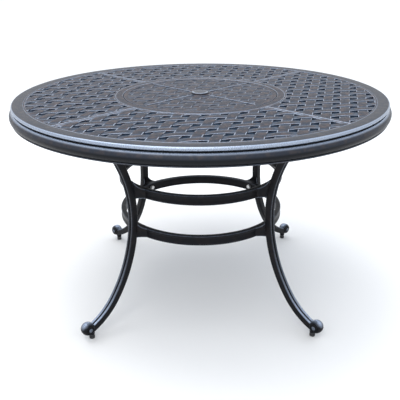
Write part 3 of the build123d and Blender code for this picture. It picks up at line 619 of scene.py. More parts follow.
def border_shell(azimuth):
    """Raised border: each point of a rounded section lies between the panel's outline and its window, by
    its share of the border's width."""
    window_inner = panel_inner_radius + panel_border
    window_outer = panel_outer_radius - panel_border
    outline = quarter_loop(azimuth, panel_inner_radius, panel_outer_radius, panel_seam / 2)
    window = quarter_loop(azimuth, window_inner, window_outer, panel_seam / 2 + seam_border)
    section = rounded([
        (0, ledge_top, FINE_ROUND),
        (0, table_height, border_seam_round),
        (panel_border, table_height, border_window_round),
        (panel_border, ledge_top, FINE_ROUND),
    ])
    share = section[:, :1, None] / panel_border
    plan = outline * (1 - share) + window * share
    height = np.broadcast_to(section[:, 1:, None], (*plan.shape[:2], 1))
    on_top = section[:, 1] > table_height - BORDER_RUB_DEPTH
    wear_and_light = np.where(on_top, BORDER_RUB_AND_HIGHLIGHT * exposure(section), BORDER_WALL_SHADE)
    wear_and_light = np.broadcast_to(wear_and_light[:, None], plan.shape[:2])
    points = np.concatenate([plan, height], axis=2)
    return points.reshape(-1, 3), grid_quads(*plan.shape[:2], wrap_rows=True), wear_and_light.ravel()


print("a panel's border has", len(border_shell(0)[1]), "faces")

# %% [markdown]
# The woven field of a quarter
#
# The weave's grid is slanted and the panel's sides aren't. A boolean could trim it to the border, but
# would leave thin slivers along the cut. So the grid is cut roughly, and its ragged ends run on inside
# the border's own solid, where no cut shows. The straps reach a little below the panel, so that the holes
# look deep from where we stand.

# %% Woven field
weave_relief = 1.9
weave_lowering = 0.25
strap_underside = 2.4
hidden_reach = 3.2


def in_quarter(places, azimuth, inner, outer, clearance):
    """Whether places lie in a quarter of a ring and clear of both diagonals: the distance to the nearer
    one is the place's length ahead less its length aside, over the root of two."""
    x, y = np.moveaxis(places, -1, 0)
    c, s = cos(radians(azimuth)), sin(radians(azimuth))
    ahead, aside = x * c + y * s, y * c - x * s
    radius = np.hypot(x, y)
    return (radius > inner) & (radius < outer) & ((ahead - np.abs(aside)) / sqrt(2) > clearance)


def field_shell(azimuth):
    """Woven field of one quarter: the weave's height times the relief, below the table's height."""
    u, v, places = weave_grid(panel_outer_radius)
    height, wear_and_light = weave(u, v)
    height = table_height - weave_lowering - weave_relief * (1 - height)
    inner = panel_inner_radius + panel_border - hidden_reach
    outer = panel_outer_radius - panel_border + hidden_reach
    clearance = panel_seam / 2 + seam_border - hidden_reach
    field = in_quarter(cell_middles(places), azimuth, inner, outer, clearance)
    return sheet_shell(places, height, wear_and_light, field & on_straps(u, v), ledge_top - strap_underside)


print("a panel's woven field has", len(field_shell(0)[1]), "faces")

# %% [markdown]
# From shells to a piece
#
# Every piece is made of closed shells: points, four-sided faces and a value of wear and painted light for
# each point. They could be separate objects that are joined afterwards, but it is quicker to lay their
# arrays end to end and write them into one mesh. Points that coincide, such as the tip of a cap, are
# merged, and all faces are turned outward. The piece then rides on its body and stands in for its CAD
# node.

# %% Make a piece
CAST = "dark_cast_aluminium"
MERGE = 0.001 * MM
SHARP_ANGLE = radians(38)


def joined_mesh(name, shells):
    """One mesh in metres from shells in millimetres: their arrays end to end, with each shell's face
    numbers moved up by the count of the points before it."""
    starts = np.cumsum([0] + [len(points) for points, _, _ in shells[:-1]])
    points = np.concatenate([points for points, _, _ in shells]) * MM
    quads = np.concatenate([faces + start for (_, faces, _), start in zip(shells, starts)])
    wear_and_light = np.concatenate([values for _, _, values in shells])
    mesh = bpy.data.meshes.new(name)
    mesh.vertices.add(len(points))
    mesh.vertices.foreach_set("co", points.astype(np.float32).ravel())
    mesh.loops.add(quads.size)
    mesh.loops.foreach_set("vertex_index", quads.astype(np.int32).ravel())
    mesh.polygons.add(len(quads))
    mesh.polygons.foreach_set("loop_start", np.arange(0, quads.size, 4, dtype=np.int32))
    mesh.attributes.new("wear_and_light", "FLOAT", "POINT").data.foreach_set("value", wear_and_light.astype(np.float32))
    mesh.update(calc_edges=True)
    return mesh


def close_mesh(mesh):
    """Merges points that coincide, turns all faces outward, and shades smooth between the sharp edges."""
    whole = bmesh.new()
    whole.from_mesh(mesh)
    bmesh.ops.remove_doubles(whole, verts=whole.verts, dist=MERGE)
    bmesh.ops.recalc_face_normals(whole, faces=whole.faces)
    whole.to_mesh(mesh)
    whole.free()
    mesh.shade_smooth()
    mesh.set_sharp_from_angle(angle=SHARP_ANGLE)


def make_piece(name, shells, finish, body, nodes):
    """A finished piece from shells, handed to its body in place of its CAD nodes."""
    mesh = joined_mesh(name, shells)
    close_mesh(mesh)
    mesh.materials.append(finish)
    piece = bpy.data.objects.new(name, mesh)
    bpy.context.scene.collection.objects.link(piece)
    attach(piece, body)
    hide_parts(*nodes)
    print(f"{name}: {len(mesh.polygons)} faces")


for side, azimuth in SIDES.items():
    panel_shells = [field_shell(azimuth), border_shell(azimuth)]
    make_piece(f"woven_panel_{side}", panel_shells, woven_finish, "table", [f"top_panel_{side}"])

# %% [markdown]
# Turned rings
#
# The rim, the centre ring, the disc and the hoops are all turned shapes: one outline of radius and
# height, carried round the table's axis. A Screw modifier would turn it too, but it knows nothing of
# rubbing or painted light. Worked out as a grid, every point of the outline keeps its own wear and
# painted light all the way round.

# %% Ring helpers
RING_STEPS = 192


def full_turn(steps):
    """Evenly spaced angles round a circle, in radians, without the last one that repeats the first."""
    return np.linspace(0, 2 * np.pi, steps, endpoint=False)


def ring_shell(outline, rub=1.0, extra_wear_and_light=0.0, steps=RING_STEPS):
    """Ring: a closed outline turned about the table's axis, with each radius times the angle's cosine and
    sine. Its value for the finish, of rub and painted light, is the outline's exposure times a rub, plus
    any extra that is given for its points."""
    turn = full_turn(steps)
    radius, height = outline.T
    height = np.broadcast_to(height, (steps, len(outline)))
    points = np.stack([np.outer(np.cos(turn), radius), np.outer(np.sin(turn), radius), height], axis=-1)
    wear_and_light = np.broadcast_to(rub * exposure(outline) + extra_wear_and_light, (steps, len(outline)))
    return points.reshape(-1, 3), grid_quads(steps, len(outline), wrap_rows=True), wear_and_light.ravel()


def arc_through(first, middle, last, count):
    """Arc through three points: its centre is equally far from all three, and its angles run evenly from
    the first to the last, past the middle one."""
    first, middle, last = (np.array(point, float) for point in (first, middle, last))
    rows = 2 * np.array([middle - first, last - first])
    centre = np.linalg.solve(rows, [middle @ middle - first @ first, last @ last - first @ first])
    start, _, end = np.unwrap([np.arctan2(*(point - centre)[::-1]) for point in (first, middle, last)])
    return arc(centre, np.linalg.norm(first - centre), degrees(start), degrees(end), count)


print("an arc through three points:", arc_through((1, 0), (0, 1), (-1, 0), 3).round(2).tolist())

# %% [markdown]
# The rim
#
# The rim hoop is the table's edge casting: a flat border on top, a fine upper bead, a dark groove, then a
# fat half-round bead with a fine lip below. Inside it steps down to the ledge that the panels lie on. It
# could be a stack of plain rings, but a casting has no joints, so it is one section. First come its sizes
# and its inner side, which is all flats and small roundings.

# %% Rim sizes and inner side
upper_bead_height = 11.0
upper_bead_bulge = 5.0
upper_bead_setback = 7.6
rim_groove_height = 4.5
lower_bead_bulge = 11.0
rim_lip_height = 3.0
rim_lip_setback = 6.5
rim_wall = 17.0
rim_flange_thickness = 8.0
ledge_thickness = 6.0
ledge_width = 12.0
ledge_step = 8.0
border_edge_round = 1.2
lip_round = 0.3
guide_reach = 20.0
guide_slant = 5.0
RIM_ARC_STEPS = 5
ledge_bottom = ledge_top - ledge_thickness
lower_bead_root = rim_radius - lower_bead_bulge
lower_bead_top = table_height - upper_bead_height - rim_groove_height
rim_lip = rim_bottom + rim_lip_height


def rim_inside():
    """Inner side of the rim's section, from its border over the ledge, the flange and the wall to the
    lip, with rounded corners. The first and the last row only give the directions in which the path comes
    and goes, and their arcs are dropped."""
    ledge_inner = panel_outer_radius - ledge_width
    step = panel_outer_radius + ledge_step
    flange_bottom = table_height - rim_flange_thickness
    wall = rim_radius - rim_wall
    lip_edge = rim_radius - rim_lip_setback
    path = rounded([
        (lower_bead_root - guide_reach, table_height, lip_round),
        (panel_outer_radius, table_height, border_edge_round),
        (panel_outer_radius, ledge_top, FINE_ROUND),
        (ledge_inner, ledge_top, EDGE_ROUND),
        (ledge_inner, ledge_bottom, EDGE_ROUND),
        (step, ledge_bottom, FINE_ROUND),
        (step, flange_bottom, FINE_ROUND),
        (wall, flange_bottom, FINE_ROUND),
        (wall, rim_bottom, EDGE_ROUND),
        (lip_edge, rim_bottom, EDGE_ROUND),
        (lip_edge, rim_lip, EDGE_ROUND),
        (lower_bead_root, rim_lip, lip_round),
        (lower_bead_root - guide_slant, rim_lip + guide_reach, lip_round),
    ], RIM_ARC_STEPS)
    return path[RIM_ARC_STEPS:-RIM_ARC_STEPS]


print("rim's inner side:", len(rim_inside()), "points")

# %% [markdown]
# The rim's beads
#
# The outer side is what a visitor sees first: two beads with a notch between. A torus for each bead would
# leave a seam where it meets the rim, so the beads are arcs through three points in the section itself.
# The lower bead runs from painted shade at its foot to a painted highlight towards its top, the groove is
# painted black as shade, and the upper bead gets an even painted highlight of bare metal that stops just
# short of the border.

# %% Rim hoop
rim_groove_depth = 3.0
groove_corner = 0.6
groove_sill = 0.2
groove_floor = 0.9
LOWER_BEAD_STEPS = 30
UPPER_BEAD_STEPS = 18
RIM_STEPS = 288
RIM_RUB = 0.5
GROOVE_SHADE = -0.9
LOWER_BEAD_SHADE_TO_HIGHLIGHT = 1.75
LOWER_BEAD_RAMP = 1.6
UPPER_BEAD_HIGHLIGHT = 0.58
UPPER_BEAD_FADE = 6.0


def rim_beads():
    """Outer side of the rim's section and its painted light: the lower bead, painted from shade to highlight
    with a power of the share along it, the notch, in painted shade, and the upper bead, with a painted
    highlight of bare metal."""
    root = rim_radius - upper_bead_setback - upper_bead_bulge
    groove = root - rim_groove_depth
    lower_middle = (rim_radius, (lower_bead_top + rim_lip) / 2)
    upper_middle = (root + upper_bead_bulge, table_height - upper_bead_height / 2)
    upper_low = (root, table_height - upper_bead_height)
    lower_start = (lower_bead_root + lip_round, rim_lip)
    lower = arc_through(lower_start, lower_middle, (lower_bead_root, lower_bead_top), LOWER_BEAD_STEPS)
    notch = [
        (groove + groove_corner, lower_bead_top + groove_sill),
        (groove, lower_bead_top + groove_floor),
        (groove, lower_bead_top + rim_groove_height - groove_corner),
    ]
    upper = arc_through(upper_low, upper_middle, (root, table_height), UPPER_BEAD_STEPS)
    # Painted shade at the lower bead's foot rising to a painted highlight at its top; painted shade in the
    # notch.
    lower_bead_light = GROOVE_SHADE + LOWER_BEAD_SHADE_TO_HIGHLIGHT * np.linspace(0, 1, LOWER_BEAD_STEPS) ** LOWER_BEAD_RAMP
    upper_bead_light = np.clip(np.linspace(UPPER_BEAD_FADE, 0, UPPER_BEAD_STEPS), 0, UPPER_BEAD_HIGHLIGHT)
    wear_and_light = np.concatenate([lower_bead_light, np.full(len(notch), GROOVE_SHADE), upper_bead_light])
    return np.concatenate([lower, notch, upper]), wear_and_light


# The blue in the coat and the bare metal is a painted reflection of the sky, and the near-black hollow colour
# is painted shade in the groove and at the lower bead's foot.
rim_finish = cast_finish(
    "rim_cast",
    [(0.020, 0.024, 0.033), (0.046, 0.041, 0.043), (0.42, 0.48, 0.58), (0.004, 0.005, 0.007)],
    patchiness=0.2,
    specular=0.15,
    grain=0.10,
)
inner_side = rim_inside()
outer_side, bead_light = rim_beads()
rim_section = np.concatenate([inner_side, outer_side])
rim_painted_light = np.concatenate([np.zeros(len(inner_side)), bead_light])
rim_shells = [ring_shell(rim_section, RIM_RUB, rim_painted_light, RIM_STEPS)]
make_piece("rim_casting", rim_shells, rim_finish, "table", ["rim_hoop"])

# %% [markdown]
# The centre ring
#
# A plain flat band frames the middle disc. Below it a wall carries a ledge outward, for the panels, and a
# flange inward, for the carrier of the turntable's bearing. Flat rings could be stacked for it, but one
# turned section has each rounding in its place, and its two top edges catch the pair of light lines round
# the disc.

# %% Centre ring
ring_low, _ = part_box("centre_ring")
opening_radius = 253.5
ring_flange_width = 25.5
ring_flange_height = 6.0
ring_wall = 11.5
ring_opening_round = 1.6
ring_inner_round = 0.6
RING_RUB = 0.75


def ring_outline():
    """Centre ring section: a plain band on a wall, with a ledge outside and a flange inside."""
    low = ring_low.z / MM
    flange_top = low + ring_flange_height
    wall = opening_radius + ring_wall
    flange = opening_radius - ring_flange_width
    ledge = panel_inner_radius + ledge_width
    return rounded([
        (opening_radius, table_height, ring_opening_round),
        (opening_radius, flange_top, ring_inner_round),
        (flange, flange_top, EDGE_ROUND),
        (flange, low, EDGE_ROUND),
        (wall, low, EDGE_ROUND),
        (wall, ledge_bottom, ring_inner_round),
        (ledge, ledge_bottom, EDGE_ROUND),
        (ledge, ledge_top, EDGE_ROUND),
        (panel_inner_radius, ledge_top, FINE_ROUND),
        (panel_inner_radius, table_height, border_edge_round),
    ])


ring_shells = [ring_shell(ring_outline(), RING_RUB)]
make_piece("centre_ring_casting", ring_shells, woven_finish, "table", ["centre_ring"])

# %% [markdown]
# The turntable disc
#
# The middle of the table turns. Its disc has a raised band round the edge, a hub round the umbrella hole
# and a sunk field between, which the low weave will fill. Below are a collar round the hole and the round
# boss that the bearing is screwed to. The disc could be carved from a cylinder with booleans, but in one
# more turned section every corner keeps its own rounding.

# %% Disc plate
_, disc_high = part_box("turntable_disc")
plug_low, plug_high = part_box("umbrella_plug")
disc_radius = disc_high.x / MM
plug_radius = plug_high.x / MM
disc_thickness = 9.0
disc_relief = 2.0
disc_sink = 0.4
disc_band_width = 15.0
boss_height = 8.2
boss_inner = 141.5
boss_outer = 160.5
umbrella_radius = 25.4
hub_wall = 12.0
bore_round = 0.5
disc_under_round = 0.8
disc_field_round = 0.3
disc_edge_round = 1.4
hub_radius = plug_radius + hub_wall
disc_field_radius = disc_radius - disc_band_width
disc_base = table_height - disc_relief - disc_sink


def disc_outline():
    """Disc section: hub, sunk field, raised band, and the bosses under it."""
    low = table_height - disc_thickness
    boss = low - boss_height
    collar = umbrella_radius + hub_wall
    return rounded([
        (umbrella_radius, boss, bore_round),
        (umbrella_radius, table_height, disc_under_round),
        (hub_radius, table_height, EDGE_ROUND),
        (hub_radius, disc_base, disc_field_round),
        (disc_field_radius, disc_base, disc_field_round),
        (disc_field_radius, table_height, EDGE_ROUND),
        (disc_radius, table_height, disc_edge_round),
        (disc_radius, low, disc_under_round),
        (boss_outer, low, FINE_ROUND),
        (boss_outer, boss, disc_under_round),
        (boss_inner, boss, disc_under_round),
        (boss_inner, low, FINE_ROUND),
        (collar, low, FINE_ROUND),
        (collar, boss, disc_under_round),
    ])


print(f"disc {2 * disc_radius:.1f} mm across, section of {len(disc_outline())} points")

# %% [markdown]
# Low weave on the disc
#
# The disc repeats the weave in low relief with closed pockets, so that crumbs can't fall into its
# bearing. A Bump node could fake so low a relief, but seen along the table it would go flat. So we use
# the same height formula, squeezed, and let it fade out beside the four raised lines.

# %% Disc weave
disc_line_width = 5.0
disc_line_fade_start = 2.0
disc_line_fade = 1.5
sunk_depth = 1.0
POCKET_HEIGHT = -0.15
LOW_STRAP_BASE = 0.25
DISC_WEAVE_RUB = 0.80


def disc_weave_shell():
    """Low weave over the disc's field: the weave's height squeezed towards its top, level pockets in
    place of the holes, times a fade that grows with the distance from the nearest line."""
    u, v, places = weave_grid(disc_radius)
    height, wear_and_light = weave(u, v)
    x, y = np.moveaxis(places, -1, 0)
    beside = np.minimum(np.abs(x - y), np.abs(x + y)) / sqrt(2) - disc_line_width / 2
    fade = np.clip((beside - disc_line_fade_start) / disc_line_fade, 0, 1)
    height = np.where(height > NO_STRAP, LOW_STRAP_BASE + (1 - LOW_STRAP_BASE) * height, POCKET_HEIGHT)
    rise = table_height - weave_lowering - disc_relief + disc_relief * height * fade
    radius = np.hypot(*np.moveaxis(cell_middles(places), -1, 0))
    kept = (radius < disc_field_radius + hidden_reach) & (radius > hub_radius - hidden_reach)
    return sheet_shell(places, rise, DISC_WEAVE_RUB * wear_and_light * fade, kept, disc_base - sunk_depth)


print("disc weave:", len(disc_weave_shell()[1]), "faces")

# %% [markdown]
# Four raised lines
#
# Thin lines run out from the hub and carry on the table's diagonal seams. Each is a bar with a round top.
# A stretched and bevelled cube would come close, but a bar is also the simplest tube, and the legs need
# tubes later: rows of one section set along a line, with a cap at each end that shrinks to a point.
# Merging the cap's points turns its faces into a fan.

# %% Raised lines and the whole disc
LINE_STEPS = 24
LINE_FOOT_ROUND = 0.04
LINE_TOP_ROUND = 0.38
LINE_TOP = 0.8
# Rub and painted highlight on each line's top, and painted shade on its flanks.
LINE_TOP_RUB_AND_HIGHLIGHT = 0.7
LINE_FLANK_SHADE = -0.2
DISC_RUB = 0.55


def tube_shell(rows, wear_and_light=0.0):
    """Tube: rows of closed sections in space, with a cap at each end that shrinks to the section's
    middle."""
    ends = np.broadcast_to(rows[[0, -1]].mean(axis=1, keepdims=True), (2, *rows.shape[1:]))
    capped = np.concatenate([ends[:1], rows, ends[1:]])
    wear_and_light = np.broadcast_to(wear_and_light, rows.shape[:2])
    wear_and_light = np.concatenate([wear_and_light[:1], wear_and_light, wear_and_light[-1:]])
    return capped.reshape(-1, 3), grid_quads(*capped.shape[:2]), wear_and_light.ravel()


def turned(points, azimuth):
    """Points turned about the table's axis by an azimuth in degrees: a product with the turn's matrix."""
    c, s = cos(radians(azimuth)), sin(radians(azimuth))
    return points @ np.array([[c, s, 0], [-s, c, 0], [0, 0, 1]])


def line_shell(azimuth):
    """Raised line: a bar with a round top, carried straight from the hub to the band."""
    section = rounded([
        (-0.5, 0, LINE_FOOT_ROUND),
        (0.5, 0, LINE_FOOT_ROUND),
        (0.5, 1, LINE_TOP_ROUND),
        (-0.5, 1, LINE_TOP_ROUND),
    ])
    foot = disc_base - sunk_depth
    height = foot + section[:, 1] * (table_height - foot)
    along = np.linspace(hub_radius - sunk_depth, disc_field_radius + sunk_depth, LINE_STEPS)
    rows = np.stack(np.broadcast_arrays(along[:, None], section[:, 0] * disc_line_width, height), axis=-1)
    points, faces, wear_and_light = tube_shell(rows, np.where(section[:, 1] > LINE_TOP, LINE_TOP_RUB_AND_HIGHLIGHT, LINE_FLANK_SHADE))
    return turned(points, azimuth), faces, wear_and_light


disc_shells = [ring_shell(disc_outline(), DISC_RUB), disc_weave_shell()]
disc_shells += [line_shell(azimuth) for azimuth in CORNERS.values()]
make_piece("turntable_casting", disc_shells, woven_finish, "turntable", ["turntable_disc"])

# %% [markdown]
# The umbrella plug
#
# A low round cap closes the umbrella hole: an almost flat top, a rounded edge rubbed bright, and a skirt
# that drops into the hole. The bright edge is partly a painted highlight, and the lower shoulder and the
# skirt get painted shade. A flattened ball would be too round on top and too sharp at the edge. So the
# plug is turned from one profile, from the middle of its top round to the middle of its underside.

# %% Umbrella plug
plug_edge_inset = 4.2
plug_dome_fall = 0.9
plug_shoulder_drop = 4.4
plug_shoulder_radius = 3.5
plug_chamfer = 0.4
skirt_clearance = 0.5
skirt_wall = 3.0
skirt_chamfer = 0.6
AXIS_GAP = 0.5
DOME_STEPS = 14
SHOULDER_STEPS = 8
PLUG_STEPS = 96
PLUG_TOP_RUB_AND_HIGHLIGHT = (0.1, 0.8)
PLUG_RUB_START = 5.0
PLUG_RUB_RAMP = 4.0
SHOULDER_HIGHLIGHT_TO_SHADE = (0.9, -0.3)
SKIRT_SHADE = -0.9


def turned_rows(radius, height, steps):
    """Rows of circles about an upright axis through the origin: a radius at each height and angle."""
    turn = full_turn(steps)
    radius = np.broadcast_to(radius, (len(height), steps))
    level = np.broadcast_to(np.array(height)[:, None], radius.shape)
    return np.stack([radius * np.cos(turn), radius * np.sin(turn), level], axis=-1)


def plug_shell():
    """Plug: a dome that falls with the cube of the radius, an arc for its shoulder, and a hollow skirt,
    turned about the axis. Its value climbs towards the dome's edge, as rub and painted highlight, and falls
    down the shoulder into painted shade."""
    top = plug_high.z / MM
    bottom = plug_low.z / MM
    edge = plug_radius - plug_edge_inset
    skirt = umbrella_radius - skirt_clearance
    across = np.linspace(AXIS_GAP, edge, DOME_STEPS)
    dome = np.column_stack([across, top - plug_dome_fall * (across / edge) ** 3])
    shoulder = arc((edge, top - plug_shoulder_drop), plug_shoulder_radius, 90, 15, SHOULDER_STEPS)[1:]
    under = np.array([
        (plug_radius, table_height + plug_chamfer),
        (plug_radius - plug_chamfer, table_height),
        (skirt, table_height),
        (skirt, bottom + skirt_chamfer),
        (skirt - skirt_chamfer, bottom),
        (skirt - skirt_wall, bottom),
        (skirt - skirt_wall, table_height),
        (AXIS_GAP, table_height),
    ])
    profile = np.concatenate([dome, shoulder, under])
    dome_rub_and_highlight = np.clip((across - edge + PLUG_RUB_START) / PLUG_RUB_RAMP, *PLUG_TOP_RUB_AND_HIGHLIGHT)
    shoulder_light = np.linspace(*SHOULDER_HIGHLIGHT_TO_SHADE, len(shoulder))
    wear_and_light = np.concatenate([dome_rub_and_highlight, shoulder_light, np.full(len(under), SKIRT_SHADE)])
    return tube_shell(turned_rows(profile[:, :1], profile[:, 1], PLUG_STEPS), wear_and_light[:, None])


# The blue in the coat and the bare metal is a painted reflection of the sky, and the dark hollow colour is
# painted shade under the cap's edge.
plug_finish = cast_finish(
    "plug_cast",
    [(0.042, 0.050, 0.067), (0.054, 0.052, 0.056), (0.38, 0.42, 0.49), (0.006, 0.007, 0.009)],
    patchiness=0.6,
    specular=0.20,
    grain=0.20,
)
make_piece("umbrella_cap", [plug_shell()], plug_finish, "plug", ["umbrella_plug"])

# %% [markdown]
# The legs
#
# A leg is one cast bar: two rounded ridges with a groove between, carried down a line that leans in,
# bends out and curls at the toe. A curve object with a bevel profile could make it, but it twists and
# thins where the bends meet. A section set out from the line by formula stays true round every bend.
# First, the line.

# %% Leg line
_, leg_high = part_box("leg_front_left")
leg_top = leg_high.z / MM
waist_radius = 308.5
waist_height = 372.0
upper_bend_radius = 400.0
upper_bend_angle = 28.0
lower_bend_radius = 430.0
lower_bend_angle = 38.0
toe_bend_radius = 220.0
toe_bend_angle = 34.0
joint_overlap = 1.0
LEAN_STEPS = 8
UPPER_BEND_STEPS = 28
LOWER_BEND_STEPS = 40
TOE_STEPS = 26
head_lean = tan(radians(upper_bend_angle))
upper_centre = np.array([waist_radius + upper_bend_radius, waist_height])
lower_centre = np.array([waist_radius + lower_bend_radius, waist_height])
toe_centre = lower_centre - slanted(lower_bend_angle, lower_bend_radius - toe_bend_radius)
bend_top = upper_centre + slanted(180 - upper_bend_angle, upper_bend_radius)
head_radius = bend_top[0] + (leg_top - bend_top[1]) * head_lean


def leg_line():
    """Centre line of a leg from head to toe, as radius and height, with its outward direction: a straight
    lean, then arcs whose outward direction points to their centres."""
    start = np.array([head_radius, leg_top]) - joint_overlap * np.array([head_lean, 1])
    straight = start + (bend_top - start) * np.linspace(0, 1, LEAN_STEPS, endpoint=False)[:, None]
    pieces = [(straight, np.broadcast_to(slanted(-upper_bend_angle, 1), straight.shape))]
    toe_start = 180 + lower_bend_angle
    bends = (
        (upper_centre, upper_bend_radius, 180 - upper_bend_angle, 180, UPPER_BEND_STEPS),
        (lower_centre, lower_bend_radius, 180, toe_start, LOWER_BEND_STEPS),
        (toe_centre, toe_bend_radius, toe_start, toe_start + toe_bend_angle, TOE_STEPS),
    )
    for centre, radius, begin, end, count in bends:
        points = arc(centre, radius, begin, end, count + 1)[1:]
        pieces.append((points, (centre - points) / radius))
    return tuple(np.concatenate(parts) for parts in zip(*pieces))


print("leg line:", len(leg_line()[0]), "stations")

# %% [markdown]
# The leg's section and sweep
#
# The ridges are arcs through three points and the inner corners are rounded. The crests are rubbed and
# carry a painted highlight that grows towards the toe, where the leg's outer face turns up to the sky, and
# the groove between them gets painted shade. Wear and highlight could be painted on by hand, but the
# height on the ridge and the way down the line already tell it.

# %% Leg sweep
leg_width = 25.0
leg_depth = 24.0
leg_corner = 5.0
ridge_rise = 5.0
flute_width = 3.0
flute_depth = 4.5
flute_floor = 0.5
flute_floor_half = 0.8
RIDGE_STEPS = 14
LEG_CORNER_STEPS = 8
CREST_POWER = 1.2
CREST_RUB_AND_HIGHLIGHT = 0.35
TOE_HIGHLIGHT = 0.50
CORNER_RUB = 0.3
FLUTE_SHADE = -1.0
FLUTE_MARGIN = 0.1
half_depth = leg_depth / 2
half_width = leg_width / 2


def leg_section():
    """Leg section as depth and width: two ridges as arcs through three points, a groove between, rounded
    inner corners."""
    ridge = half_depth - ridge_rise
    groove = half_depth - flute_depth
    middle = (half_width + flute_width / 2) / 2
    right = arc_through((ridge, -half_width), (half_depth, -middle), (groove, -flute_width / 2), RIDGE_STEPS)
    left = arc_through((groove, flute_width / 2), (half_depth, middle), (ridge, half_width), RIDGE_STEPS)
    floor_line = [(groove - flute_floor, -flute_floor_half), (groove - flute_floor, flute_floor_half)]
    inner = leg_corner - half_depth
    inner_left = arc((inner, half_width - leg_corner), leg_corner, 90, 180, LEG_CORNER_STEPS)
    inner_right = arc((inner, leg_corner - half_width), leg_corner, 180, 270, LEG_CORNER_STEPS)
    return np.concatenate([right, floor_line, left, inner_left, inner_right])


def leg_shell():
    """Swept leg: each point of the section set out from the centre line along its outward direction, and
    sideways. Its value is a power of the height on the ridge, times a rub and painted highlight that grows
    below the middle of the line, with painted shade in the groove."""
    line, outward = leg_line()
    section = leg_section()
    plane = line[:, None, :] + section[None, :, :1] * outward[:, None, :]
    width = np.broadcast_to(section[:, 1], plane.shape[:2])
    rows = np.stack([plane[..., 0], width, plane[..., 1]], axis=-1)
    crest = np.clip((section[:, 0] - half_depth + ridge_rise) / ridge_rise, 0, 1) ** CREST_POWER
    in_flute = np.abs(section[:, 1]) < flute_width / 2 + FLUTE_MARGIN
    # Painted highlight that grows towards the toe, where the outer face turns up to the sky; painted shade in
    # the groove.
    rub = CREST_RUB_AND_HIGHLIGHT + TOE_HIGHLIGHT * np.linspace(-1, 1, len(line)).clip(0, 1)[:, None]
    wear_and_light = rub * crest + CORNER_RUB * np.maximum(exposure(section), 0)
    return tube_shell(rows, np.where(in_flute, FLUTE_SHADE, wear_and_light))


leg_shells = [leg_shell()]
print("leg section:", len(leg_section()), "points, sweep:", len(leg_shells[0][1]), "faces")

# %% [markdown]
# The bracket at the leg's head
#
# A flat web fills the corner between the leg's head and the flange above it. Its free edge slopes in from
# the leg, turns up in a soft bend and rises to the flange. An outline could be extruded and bevelled, but
# it would not follow the leg's bend. So the web is a stack of slabs from the leg's line to that edge, and
# each slab ends in a half round, as a cast web does.

# %% Leg bracket
flange_inner_radius = 294.0
bracket_thickness = 16.0
bracket_foot_height = 528.0
bracket_rise = 14.0
bracket_inset = 5.0
bracket_round = 12.0
bracket_edge_round = 4.0
bracket_least_reach = 8.0
BRACKET_BEND_STEPS = 9
BRACKET_FACE_STEPS = 6
BRACKET_EDGE_STEPS = 7
BRACKET_RUB = 0.6
bracket_top = leg_top - joint_overlap


def leg_radius(height):
    """Radius of the leg's centre line at a height on its bends: the waist plus the bend's radius, less
    the root of that radius squared less the height above the waist squared."""
    bend = np.where(height > waist_height, upper_bend_radius, lower_bend_radius)
    return waist_radius + bend - np.sqrt(bend**2 - (height - waist_height) ** 2)


def bracket_edge():
    """Free edge of the bracket: a slope from the leg, a bend as a quadratic curve between its two
    tangents, and a straight rise."""
    inner = flange_inner_radius + bracket_inset
    foot = np.array([leg_radius(bracket_foot_height), bracket_foot_height])
    corner = np.array([inner, bracket_foot_height + bracket_rise])
    slope_end = corner + (foot - corner) / np.linalg.norm(foot - corner) * bracket_round
    rise_start = corner + [0, bracket_round]
    share = np.linspace(0, 1, BRACKET_BEND_STEPS)[:, None]
    bend = slope_end * (1 - share) ** 2 + corner * 2 * share * (1 - share) + rise_start * share**2
    return np.concatenate([[foot], bend, [(inner, bracket_top)]])


def bracket_shell():
    """Bracket: rows of slabs from the leg's centre line to the free edge. Each goes out along one face,
    round the edge on a half circle and back along the other face."""
    edge = bracket_edge()
    height = np.linspace(bracket_foot_height, bracket_top, len(edge))
    on_bend = leg_radius(np.minimum(height, bend_top[1]))
    on_lean = bend_top[0] + (height - bend_top[1]) * head_lean
    spine = np.column_stack([np.where(height < bend_top[1], on_bend, on_lean), height])
    face = np.linspace(0, 1, BRACKET_FACE_STEPS)
    across = np.concatenate([face, np.ones(BRACKET_EDGE_STEPS), face[::-1]])
    turn = np.linspace(-90, 90, BRACKET_EDGE_STEPS)
    turn = np.concatenate([np.full(BRACKET_FACE_STEPS, -90.0), turn, np.full(BRACKET_FACE_STEPS, 90.0)])
    reach = np.maximum(np.linalg.norm(edge - spine, axis=1)[:, None], bracket_least_reach)
    bulge = np.cos(np.radians(turn))
    share = np.clip(across * (1 - bracket_edge_round / reach), 0, 1) + bulge * bracket_edge_round / reach
    flat = np.sign(turn) * (bracket_thickness / 2 - bracket_edge_round)
    width = np.broadcast_to(np.sin(np.radians(turn)) * bracket_edge_round + flat, share.shape)
    plan = spine[:, None, :] + (edge - spine)[:, None, :] * share[..., None]
    return tube_shell(np.stack([plan[..., 0], width, plan[..., 1]], axis=-1), bulge * BRACKET_RUB)


leg_shells.append(bracket_shell())
print("leg bracket:", len(leg_shells[-1][1]), "faces")

# %% [markdown]
# The flange on top of the leg
#
# A rounded plate on the leg's head takes the bolts that hold the leg to the cross bars. A bevelled cube
# would do, but would ease both edges alike. So the plate is a stack of one rounded rectangle, drawn in
# more at its lower edge than at its upper one, which lies against the cross bar.

# %% Leg flange
flange_thickness = 8.0
flange_overhang = 14.0
flange_width = 64.0
flange_corner = 7.0
flange_lower_ease = 1.2
flange_upper_ease = 0.4
FLANGE_WEAR = 0.3


